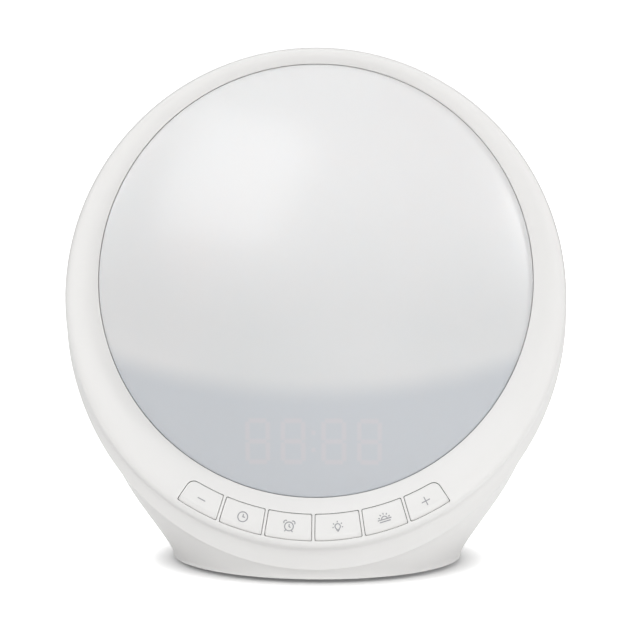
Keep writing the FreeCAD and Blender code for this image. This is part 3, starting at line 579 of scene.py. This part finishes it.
def key_icon(index, name):
    """The icon as a thin printed layer that follows the key's surface."""
    a, b, c, d = key_corners(index, 0.0, 0.0)
    centre = (a + b + c + d) / 4
    drop = (a + b - c - d).normalized() * ICON_DROP
    middle, _ = band_circle(ICON_SHARE, 0.0)
    lean = math.atan2(centre.x - middle.x, -(centre.y - middle.y))
    spin = Matrix.Rotation(lean, 2)
    points = []
    faces = []
    for stroke in icon_strokes(name):
        first = len(points)
        sides = ribbon(stroke, ICON_STROKE / 2)
        for left, right in sides:
            for side in (left, right):
                flat = centre + drop + spin @ side
                height = key_height(flat.x, flat.y, KEY_INLAND)
                points.append(Vector((flat.x, flat.y, height + ICON_LAYER)))
        for i in range(len(sides) - 1):
            k = first + 2 * i
            faces.append((k, k + 1, k + 3, k + 2))
    made = mesh_object(name + "_icon", on_head(points), faces)
    body = made.modifiers.new("layer", "SOLIDIFY")
    body.thickness = ICON_LAYER * MM
    body.offset = 0.0
    return made


# Dome.


def dome_outline():
    """Radius and height of the dome's section: over its top, round its edge and flange, and back inside."""
    ball = (DOME_R ** 2 + DOME_HEIGHT ** 2) / (2 * DOME_HEIGHT)
    lift = DOME_EDGE + DOME_HEIGHT - ball
    end = math.asin(DOME_R / ball)
    outline = [(DOME_POLE_R, lift + ball)]
    for i in range(1, DOME_STEPS + 1):
        turn = end * i / DOME_STEPS * (1 - DOME_EDGE_ROUND / DOME_R)
        outline.append((ball * math.sin(turn), lift + ball * math.cos(turn)))
    edge_r, edge_h = outline[-1]
    for i in range(1, DOME_EDGE_STEPS + 1):
        turn = math.radians(90 - 90 * i / DOME_EDGE_STEPS)
        outline.append((edge_r + (DOME_R - edge_r) * math.cos(turn),
                        edge_h - DOME_EDGE_ROUND * (1 - math.sin(turn))))
    outline.append((DOME_R, DOME_FLANGE_TOP))
    outline.append((DOME_FLANGE_R, DOME_FLANGE_TOP))
    outline.append((DOME_FLANGE_R, DOME_FLANGE_TOP - DOME_FLANGE_THICK))
    inner = ball - DOME_WALL
    rim = DOME_R - DOME_WALL
    outline.append((rim, DOME_FLANGE_TOP - DOME_FLANGE_THICK))
    last = math.asin(rim / inner)
    for i in range(DOME_INNER_STEPS, 0, -1):
        turn = last * i / DOME_INNER_STEPS
        outline.append((inner * math.sin(turn), lift + inner * math.cos(turn)))
    outline.append((DOME_POLE_R, lift + inner))
    return outline


def dome():
    rings = []
    for radius, height in dome_outline():
        ring = []
        for i in range(AROUND):
            turn = 2 * math.pi * i / AROUND
            rise = OPENING_RISE + radius * math.sin(turn)
            ring.append(Vector((radius * math.cos(turn), rise, height)))
        rings.append(on_head(ring))
    made = ring_mesh("light_dome_skin", rings)
    outward(made)
    smooth(made, 30.0)
    return made


# Back shell.


def back_rings(inset, count):
    """Ovals that fan from the parting plane round to the foot, drawn in by the inset."""
    tilt = math.radians(HEAD_TILT)
    depth = PARTING_DEPTH + PARTING_GAP
    rise = (FOOT_HEIGHT - HEAD_Z + depth * math.sin(tilt)) / math.cos(tilt)
    hinge = Vector((0, HEAD_Y + rise * math.sin(tilt) + depth * math.cos(tilt), FOOT_HEIGHT))
    upright = 90.0 - HEAD_TILT
    near = -PARTING_DROP - PARTING_HALF_HEIGHT - rise
    far = -PARTING_DROP + PARTING_HALF_HEIGHT - rise
    rows = [(upright, far, PARTING_HALF_WIDTH)] + BACK_SECTION
    rows.append((0.0, FAN_NEAR_AT_FOOT + 2 * FOOT_HALF_DEPTH, FOOT_HALF_WIDTH))
    rings = []
    for angle, reach, half_width in blend(rows, count):
        start = FAN_NEAR_AT_FOOT + (near - FAN_NEAR_AT_FOOT) * angle / upright + inset
        reach = reach - inset
        along = Vector((0, math.cos(math.radians(angle)), math.sin(math.radians(angle))))
        middle = hinge + along * ((start + reach) / 2)
        rings.append([p * MM for p in oval(middle, along, half_width - inset, (reach - start) / 2)])
    return rings


def head_place(x, rise, height):
    """A point of the head, in millimetres in the object's own axes."""
    return (HEAD @ (Vector((x, rise, height)) * MM)) / MM


def backward(name, y, z, radius, length, sides=48):
    """A round bar that runs straight back from the middle of the object."""
    return cylinder(name, (0, y, z), (0, 1, 0), radius, length, sides)


def back_tubes():
    """Speaker tube, screw wells and inlet boss, cut off where they reach the housing's outside."""
    tubes = backward("tubes", SPEAKER_FACE_Y, SPEAKER_Z, SPEAKER_R + SPEAKER_TUBE_WALL, SPEAKER_TUBE_LENGTH)
    for x, rise, end in CASE_POSTS:
        seat = head_place(x, rise, end - SEAT_GAP)
        combine(tubes, cylinder("well", seat, HEAD_BACK, WELL_R, THROUGH), "UNION")
    boss_r = INLET_NOSE_R + INLET_BOSS_WALL
    combine(tubes, backward("boss", INLET_BOSS_Y, INLET_Z, boss_r, INLET_BOSS_LENGTH), "UNION")
    combine(tubes, capped_mesh("limit", back_rings(BACK_INSET + TUBE_TRIM, BACK_ROWS)), "INTERSECT")
    return tubes


def back_shell():
    outside = back_rings(BACK_INSET, BACK_ROWS)
    inside = back_rings(WALL, BACK_ROWS // 2)
    shell = ring_mesh("rear_housing_skin", outside + inside[::-1])
    combine(shell, back_tubes(), "UNION")
    way = backward("speaker_way", 0, SPEAKER_Z, GRILLE_R - GRILLE_LIP, SPEAKER_WAY_LENGTH, GRILLE_SIDES)
    combine(shell, way, "DIFFERENCE")
    seat_r = GRILLE_R + GRILLE_GAP
    seat = backward("grille_seat", GRILLE_Y, SPEAKER_Z, seat_r, GRILLE_SEAT_LENGTH, GRILLE_SIDES)
    combine(shell, seat, "DIFFERENCE")
    for x, rise, end in CASE_POSTS:
        floor = head_place(x, rise, end - SEAT_GAP - WELL_FLOOR)
        combine(shell, cylinder("well_bore", floor, HEAD_BACK, WELL_BORE_R, THROUGH), "DIFFERENCE")
    hole = backward("inlet_hole", INLET_HOLE_Y, INLET_Z, INLET_NOSE_R + INLET_GAP, THROUGH)
    combine(shell, hole, "DIFFERENCE")
    outward(shell)
    smooth(shell, 30.0)
    return shell


# Materials.

RAMP_ENDS = (0.3, 0.7)
MOTTLE_SCALE = 14.0
HAZE_SCALE = 16.0
BRUSH_SCALE = 420.0
TRACK_SCALE = 160.0
PLASTIC_RELIEF = 0.00004
DOME_RELIEF = 0.00003
METAL_SPREAD = 0.08
SHELL_WHITE = (0.775, 0.768, 0.757)
KEY_WHITE = (0.775, 0.769, 0.758)
ICON_GREY = (0.33, 0.33, 0.35)
DOME_WHITE = (0.79, 0.79, 0.79)
# The dome's lower colour is painted shade: the dome's white is darkened towards its bottom.
DOME_PAINTED_SHADE = (0.58, 0.588, 0.592)
DISPLAY_TINT = (0.50, 0.52, 0.548)
DIGIT_TINT = (0.60, 0.545, 0.56)
ROSE_TINT = (0.80, 0.745, 0.735)

# The display seen through the dome, in metres on the head's plane. The zone's upper edge is a wide arc.
# Each pair of digits stands off the middle by the pair shift, which leaves room for the colon.
DISPLAY_ARC_R = 0.218
DISPLAY_ARC_LOW = -0.0342
DISPLAY_RISE = -0.0520
ZONE_BLUR_IN = 0.005
ZONE_BLUR_OUT = 0.006
# Painted shade on the dome runs from none at this height above the head's middle to full at this depth below
# it.
PAINTED_SHADE_REACH = 0.060
DIGIT_PITCH = 0.0126
DIGIT_HALF_WIDE = 0.0036
DIGIT_HALF_TALL = 0.0072
DIGIT_SHARE = 0.4
STROKE_HALF = 0.0008
STROKE_BLUR = 0.0005
STROKE_TRIM = 0.0004
PAIR_SHIFT = 0.0009
PAIR_HALF = DIGIT_PITCH * 0.99
PAIR_BLUR = 0.0001
COLON_RISE = 0.0030
COLON_HALF = 0.0007
COLON_BLUR = 0.0004


def tree_of(name):
    material = bpy.data.materials.new(name)
    material.use_nodes = True
    tree = material.node_tree
    return material, tree, tree.nodes["Principled BSDF"]


def node(tree, kind, **values):
    made = tree.nodes.new(kind)
    for key, value in values.items():
        if key in made.inputs:
            made.inputs[key].default_value = value
        else:
            setattr(made, key, value)
    return made


def grain(tree, scale, detail):
    coords = node(tree, "ShaderNodeTexCoord")
    noise = node(tree, "ShaderNodeTexNoise", Scale=scale, Detail=detail)
    tree.links.new(coords.outputs["Object"], noise.inputs["Vector"])
    return noise


def ramp(tree, source, low, high):
    """A colour that runs from low to high across the middle of the source's range."""
    colours = node(tree, "ShaderNodeValToRGB")
    stops = colours.color_ramp.elements
    for stop, place, colour in zip(stops, RAMP_ENDS, (low, high)):
        stop.position = place
        stop.color = (*colour, 1)
    tree.links.new(source, colours.inputs["Fac"])
    return colours


def bump(tree, shader, source, strength, distance):
    relief = node(tree, "ShaderNodeBump", Strength=strength, Distance=distance)
    tree.links.new(source, relief.inputs["Height"])
    tree.links.new(relief.outputs["Normal"], shader.inputs["Normal"])


def uneven_gloss(tree, shader, source, low, high):
    gloss = node(tree, "ShaderNodeMapRange")
    gloss.inputs["To Min"].default_value = low
    gloss.inputs["To Max"].default_value = high
    tree.links.new(source, gloss.inputs["Value"])
    tree.links.new(gloss.outputs["Result"], shader.inputs["Roughness"])


def moulded(name, colour, roughness, grain_scale=900.0, spread=0.012, bump_strength=0.12):
    """Moulded plastic: faint mottling, fine spark-eroded texture and slightly uneven gloss."""
    material, tree, shader = tree_of(name)
    wide = grain(tree, MOTTLE_SCALE, 2.0)
    low = tuple(max(0.0, c - spread) for c in colour)
    high = tuple(min(1.0, c + spread) for c in colour)
    tint = ramp(tree, wide.outputs["Fac"], low, high)
    tree.links.new(tint.outputs["Color"], shader.inputs["Base Color"])
    fine = grain(tree, grain_scale, 4.0)
    uneven_gloss(tree, shader, fine.outputs["Fac"], roughness - 0.04, roughness + 0.05)
    bump(tree, shader, fine.outputs["Fac"], bump_strength, PLASTIC_RELIEF)
    return material


def metal(name, colour, roughness):
    """Plated or drawn metal, a little darker and rougher in places."""
    material, tree, shader = tree_of(name)
    shader.inputs["Metallic"].default_value = 1.0
    noise = grain(tree, BRUSH_SCALE, 3.0)
    low = tuple(c * 0.9 for c in colour)
    tint = ramp(tree, noise.outputs["Fac"], low, colour)
    tree.links.new(tint.outputs["Color"], shader.inputs["Base Color"])
    uneven_gloss(tree, shader, noise.outputs["Fac"], roughness - METAL_SPREAD, roughness + METAL_SPREAD)
    return material


def board(name, colour):
    """Lacquered circuit board with faint tracks."""
    material, tree, shader = tree_of(name)
    coords = node(tree, "ShaderNodeTexCoord")
    tracks = node(tree, "ShaderNodeTexBrick", Scale=TRACK_SCALE)
    tracks.inputs["Color1"].default_value = (*colour, 1)
    tracks.inputs["Color2"].default_value = (*(c * 0.86 for c in colour), 1)
    tracks.inputs["Mortar"].default_value = (*(min(1.0, c * 1.25) for c in colour), 1)
    tree.links.new(coords.outputs["Object"], tracks.inputs["Vector"])
    tree.links.new(tracks.outputs["Color"], shader.inputs["Base Color"])
    shader.inputs["Roughness"].default_value = 0.35
    return material


def head_coordinates(tree):
    """Separate x, rise and height over the crest, in metres, of the point being shaded."""
    coords = node(tree, "ShaderNodeTexCoord")
    shift = node(tree, "ShaderNodeVectorMath", operation="SUBTRACT")
    shift.inputs[1].default_value = (0, HEAD_Y * MM, HEAD_Z * MM)
    tree.links.new(coords.outputs["Object"], shift.inputs[0])
    turn = node(tree, "ShaderNodeVectorRotate", rotation_type="X_AXIS")
    turn.inputs["Angle"].default_value = -math.radians(90.0 - HEAD_TILT)
    tree.links.new(shift.outputs["Vector"], turn.inputs["Vector"])
    parts = node(tree, "ShaderNodeSeparateXYZ")
    tree.links.new(turn.outputs["Vector"], parts.inputs["Vector"])
    return parts


def sums(tree, operation, first, second=None):
    """The result of one arithmetic step on numbers or on other steps' results."""
    made = node(tree, "ShaderNodeMath", operation=operation)
    for slot_index, value in enumerate((first, second)):
        if value is None:
            continue
        if isinstance(value, (int, float)):
            made.inputs[slot_index].default_value = value
        else:
            tree.links.new(value, made.inputs[slot_index])
    return made.outputs[0]


def soft_step(tree, value, low, high):
    """0 below low and 1 above high, smooth between."""
    made = node(tree, "ShaderNodeMapRange", interpolation_type="SMOOTHSTEP")
    made.inputs["From Min"].default_value = low
    made.inputs["From Max"].default_value = high
    tree.links.new(value, made.inputs["Value"])
    return made.outputs["Result"]


def bar(tree, value, centre, half, blur):
    """1 where value lies within half of centre."""
    away = sums(tree, "ABSOLUTE", sums(tree, "SUBTRACT", value, centre))
    return sums(tree, "SUBTRACT", 1.0, soft_step(tree, away, half - blur, half + blur))


def digits_mask(tree, x, rise):
    """Four unlit eights and a colon, seen faintly through the dome."""
    size = sums(tree, "ABSOLUTE", x)
    moved = sums(tree, "SUBTRACT", size, PAIR_SHIFT)
    inside = bar(tree, moved, DIGIT_PITCH, PAIR_HALF, PAIR_BLUR)
    within = sums(tree, "SUBTRACT", sums(tree, "MODULO", moved, DIGIT_PITCH), DIGIT_PITCH / 2)
    across = sums(tree, "ABSOLUTE", within)
    up = sums(tree, "ABSOLUTE", sums(tree, "SUBTRACT", rise, DISPLAY_RISE))
    tall = bar(tree, up, DIGIT_HALF_TALL / 2, DIGIT_HALF_TALL / 2 - STROKE_TRIM, STROKE_BLUR)
    wide = bar(tree, across, 0.0, DIGIT_HALF_WIDE - STROKE_TRIM, STROKE_BLUR)
    sides = sums(tree, "MULTIPLY", bar(tree, across, DIGIT_HALF_WIDE, STROKE_HALF, STROKE_BLUR), tall)
    ends = sums(tree, "MAXIMUM", bar(tree, up, DIGIT_HALF_TALL, STROKE_HALF, STROKE_BLUR),
                bar(tree, up, 0.0, STROKE_HALF, STROKE_BLUR))
    bars = sums(tree, "MULTIPLY", ends, wide)
    strokes = sums(tree, "MULTIPLY", sums(tree, "MAXIMUM", sides, bars), inside)
    middle = bar(tree, size, 0.0, COLON_HALF, COLON_BLUR)
    dots = sums(tree, "MULTIPLY", middle, bar(tree, up, COLON_RISE, COLON_HALF, COLON_BLUR))
    return sums(tree, "MAXIMUM", strokes, dots)


def mix(tree, factor, first, second):
    """One colour over another, each given as a value or as the result of an earlier step."""
    made = node(tree, "ShaderNodeMix", data_type="RGBA")
    tree.links.new(factor, made.inputs[0])
    for slot_index, value in ((6, first), (7, second)):
        if isinstance(value, tuple):
            made.inputs[slot_index].default_value = (*value, 1)
        else:
            tree.links.new(value, made.inputs[slot_index])
    return made.outputs[2]


def dome_material():
    """Milky diffuser, painted darker towards its bottom as painted shade: the cooler display zone and its
    unlit digits show through its lower part.
    """
    material, tree, shader = tree_of("milky_dome")
    parts = head_coordinates(tree)
    x = parts.outputs["X"]
    rise = parts.outputs["Y"]
    centre = DISPLAY_ARC_LOW + DISPLAY_ARC_R
    from_centre = sums(tree, "SUBTRACT", rise, centre)
    square = sums(tree, "ADD", sums(tree, "MULTIPLY", x, x), sums(tree, "MULTIPLY", from_centre, from_centre))
    reach = sums(tree, "SQRT", square)
    zone = soft_step(tree, reach, DISPLAY_ARC_R - ZONE_BLUR_IN, DISPLAY_ARC_R + ZONE_BLUR_OUT)
    # Painted shade: the dome's colour runs darker from top to bottom.
    painted_shade = soft_step(tree, rise, PAINTED_SHADE_REACH, -PAINTED_SHADE_REACH)
    haze = grain(tree, HAZE_SCALE, 2.0)
    body = mix(tree, painted_shade, DOME_WHITE, DOME_PAINTED_SHADE)
    body = mix(tree, soft_step(tree, haze.outputs["Fac"], 0.2, 1.6), body, ROSE_TINT)
    body = mix(tree, zone, body, DISPLAY_TINT)
    digits = sums(tree, "MULTIPLY", digits_mask(tree, x, rise), DIGIT_SHARE)
    body = mix(tree, digits, body, DIGIT_TINT)
    tree.links.new(body, shader.inputs["Base Color"])
    shader.inputs["Roughness"].default_value = 0.42
    shader.inputs["Subsurface Weight"].default_value = 0.25
    shader.inputs["Subsurface Radius"].default_value = (0.006, 0.005, 0.0045)
    shader.inputs["Subsurface Scale"].default_value = 1.0
    shader.inputs["Coat Weight"].default_value = 0.45
    shader.inputs["Coat Roughness"].default_value = 0.2
    fine = grain(tree, 700.0, 3.0)
    bump(tree, shader, fine.outputs["Fac"], 0.06, DOME_RELIEF)
    return material


def paint(made, material):
    made.data.materials.clear()
    made.data.materials.append(material)


def dress_nodes():
    """Give every node of the assembly its material, and return the shells' own."""
    white = moulded("shell_white_plastic", SHELL_WHITE, 0.46)
    looks = {
        "front_bezel": white, "rear_housing": white, "speaker_grille": white,
        "base_plate": moulded("base_plastic", (0.62, 0.62, 0.63), 0.6, 500.0),
        "cell_cap": moulded("cap_plastic", (0.58, 0.58, 0.59), 0.55, 500.0),
        "rubber_feet": moulded("pad_rubber", (0.26, 0.26, 0.265), 0.85, 300.0, 0.02, 0.3),
        "reflector_dish": moulded("reflector_plastic", (0.86, 0.86, 0.85), 0.6),
        "display_shroud": moulded("fascia_plastic", (0.45, 0.47, 0.50), 0.55),
        "display_module": moulded("module_plastic", (0.34, 0.36, 0.39), 0.4),
        "display_digits": moulded("digit_bars", (0.70, 0.46, 0.45), 0.4, 600.0),
        "lamp_board": moulded("lamp_board_coat", (0.78, 0.78, 0.76), 0.35, 300.0),
        "lamp_leds": moulded("lamp_fill", (0.85, 0.70, 0.30), 0.3, 900.0, 0.03),
        "main_board": board("main_board_lacquer", (0.02, 0.12, 0.05)),
        "key_board": board("key_board_lacquer", (0.02, 0.12, 0.05)),
        "control_chip": moulded("chip_resin", (0.02, 0.02, 0.02), 0.5, 700.0, 0.005),
        "sound_chip": moulded("sound_chip_resin", (0.02, 0.02, 0.02), 0.5, 700.0, 0.005),
        "board_capacitors": moulded("can_sleeve", (0.03, 0.03, 0.045), 0.35, 300.0, 0.008),
        "board_sockets": moulded("socket_nylon", (0.68, 0.62, 0.45), 0.5, 400.0),
        "clock_crystal": metal("crystal_can", (0.75, 0.74, 0.70), 0.25),
        "switch_bodies": moulded("switch_resin", (0.03, 0.03, 0.03), 0.45, 600.0, 0.006),
        "speaker_basket": moulded("basket_paint", (0.04, 0.04, 0.042), 0.4, 500.0, 0.008),
        "speaker_magnet": moulded("magnet_ferrite", (0.06, 0.06, 0.062), 0.7, 200.0, 0.015, 0.4),
        "speaker_cone": moulded("cone_paper", (0.05, 0.05, 0.052), 0.85, 250.0, 0.02, 0.5),
        "dc_jack": moulded("jack_resin", (0.02, 0.02, 0.02), 0.5, 500.0, 0.006),
        "dc_jack_pin": metal("pin_nickel", (0.72, 0.70, 0.66), 0.2),
        "coin_cell": metal("cell_steel", (0.70, 0.70, 0.69), 0.28),
        "cell_contacts": metal("contact_nickel", (0.72, 0.71, 0.68), 0.25),
    }
    screw_zinc = metal("screw_zinc", (0.62, 0.62, 0.62), 0.35)
    for name, made in nodes.items():
        if name in looks:
            paint(made, looks[name])
        elif name.endswith("_screws"):
            paint(made, screw_zinc)
        elif name.endswith("_plunger"):
            paint(made, looks["switch_bodies"])
    return white


def ride_as(made, node_name, body):
    """The piece moves with its body and stands in for the node."""
    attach(made, body)
    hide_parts(node_name)


# The model.

white = dress_nodes()
key_white = moulded("key_white_plastic", KEY_WHITE, 0.42)
icon_ink = moulded("icon_ink", ICON_GREY, 0.55, 1500.0, 0.02, 0.05)

bezel = front_shell()
for key_index in range(LAST_KEY + 1):
    combine(bezel, key_window(key_index), "DIFFERENCE")
outward(bezel)
smooth(bezel, 32.0)
paint(bezel, white)
ride_as(bezel, "front_bezel", "case")

for key_index, key_name in enumerate(KEY_NAMES):
    cap = key_cap(key_index, key_name)
    paint(cap, key_white)
    ride_as(cap, key_name + "_key", key_name + "_button")
    icon = key_icon(key_index, key_name)
    paint(icon, icon_ink)
    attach(icon, key_name + "_button")

diffuser = dome()
paint(diffuser, dome_material())
ride_as(diffuser, "light_dome", "case")

housing = back_shell()
paint(housing, white)
ride_as(housing, "rear_housing", "case")


# Floor, light and camera. Places are in metres.

FLOOR_HALF = 6.0
FLOOR_WHITE = 0.85
FLOOR_LIFT = 0.08
FLOOR_NEAR = 0.034
FLOOR_FAR = 0.052
WORLD_LIGHT = 0.33
LAMP_TARGET = (0, 0, 0.1)
LOW_TARGET = (0, 0, 0.04)
LENS = 155.9
SENSOR = 36.0
CAMERA_PLACE = (0.0285, -0.9844, 0.2651)
CAMERA_TARGET = (-0.00074, 0.0, 0.0915)


def floor_material():
    """White floor that keeps the object's shadow near the foot and reads plain white farther out."""
    material, tree, shader = tree_of("floor_white")
    tree.nodes.remove(shader)
    paths = node(tree, "ShaderNodeLightPath")
    seen = sums(tree, "MAXIMUM", paths.outputs["Is Camera Ray"], paths.outputs["Is Glossy Ray"])
    seen = sums(tree, "MAXIMUM", seen, paths.outputs["Is Transmission Ray"])
    matt = node(tree, "ShaderNodeBsdfDiffuse")
    matt.inputs["Color"].default_value = (FLOOR_WHITE, FLOOR_WHITE, FLOOR_WHITE, 1)
    lift = node(tree, "ShaderNodeEmission")
    coords = node(tree, "ShaderNodeTexCoord")
    round_foot = node(tree, "ShaderNodeVectorMath", operation="MULTIPLY")
    round_foot.inputs[1].default_value = (FOOT_HALF_DEPTH / FOOT_HALF_WIDTH, 1, 1)
    away = node(tree, "ShaderNodeVectorMath", operation="LENGTH")
    tree.links.new(coords.outputs["Object"], round_foot.inputs[0])
    tree.links.new(round_foot.outputs["Vector"], away.inputs[0])
    far = soft_step(tree, away.outputs["Value"], FLOOR_NEAR, FLOOR_FAR)
    rise = sums(tree, "MULTIPLY", far, 1.0 - FLOOR_LIFT)
    strength = sums(tree, "MULTIPLY", seen, sums(tree, "ADD", rise, FLOOR_LIFT))
    tree.links.new(strength, lift.inputs["Strength"])
    both = node(tree, "ShaderNodeAddShader")
    tree.links.new(matt.outputs[0], both.inputs[0])
    tree.links.new(lift.outputs[0], both.inputs[1])
    tree.links.new(both.outputs[0], tree.nodes["Material Output"].inputs["Surface"])
    return material


def make_floor():
    low = -FLOOR_HALF
    high = FLOOR_HALF
    corners = [(low, low, 0), (high, low, 0), (high, high, 0), (low, high, 0)]
    floor = mesh_object("floor", corners, [(0, 1, 2, 3)])
    paint(floor, floor_material())


def make_world():
    """Even light from all round, behind a background that looks white."""
    world = bpy.data.worlds.new("studio")
    bpy.context.scene.world = world
    world.use_nodes = True
    tree = world.node_tree
    sky = tree.nodes["Background"]
    paths = node(tree, "ShaderNodeLightPath")
    seen = paths.outputs["Is Camera Ray"]
    strength = sums(tree, "ADD", sums(tree, "MULTIPLY", seen, 1.0 - WORLD_LIGHT), WORLD_LIGHT)
    sky.inputs["Color"].default_value = (1, 1, 1, 1)
    tree.links.new(strength, sky.inputs["Strength"])


def softbox(name, place, target, wide, tall, watts, mirrored=True):
    """A soft lamp. Where it isn't mirrored, it makes no highlight."""
    light = bpy.data.lights.new(name, "AREA")
    light.shape = "RECTANGLE"
    light.size = wide
    light.size_y = tall
    light.energy = watts
    made = bpy.data.objects.new(name, light)
    made.location = place
    made.rotation_euler = (Vector(target) - Vector(place)).to_track_quat("-Z", "Y").to_euler()
    made.visible_glossy = mirrored
    bpy.context.scene.collection.objects.link(made)


def make_camera():
    lens = bpy.data.cameras.new("camera")
    lens.lens = LENS
    lens.sensor_width = SENSOR
    lens.sensor_fit = "HORIZONTAL"
    made = bpy.data.objects.new("camera", lens)
    made.location = CAMERA_PLACE
    made.rotation_euler = (Vector(CAMERA_TARGET) - Vector(CAMERA_PLACE)).to_track_quat("-Z", "Y").to_euler()
    bpy.context.scene.collection.objects.link(made)
    bpy.context.scene.camera = made


make_floor()
make_world()
softbox("key_light", (-0.6, -0.8, 1.12), LAMP_TARGET, 1.0, 1.0, 8.0)
softbox("strip_light", (0.95, -0.28, 0.46), LAMP_TARGET, 0.08, 0.5, 2.0)
softbox("top_light", (0.0, 0.25, 1.4), LAMP_TARGET, 1.0, 1.0, 3.2)
softbox("low_fill", (0.25, -1.3, 0.1), LOW_TARGET, 0.8, 0.2, 5.8, False)
softbox("back_light", (0.4, 1.3, 0.8), LAMP_TARGET, 0.9, 0.9, 3.5, False)
make_camera()
bpy.context.scene.view_settings.view_transform = "Standard"
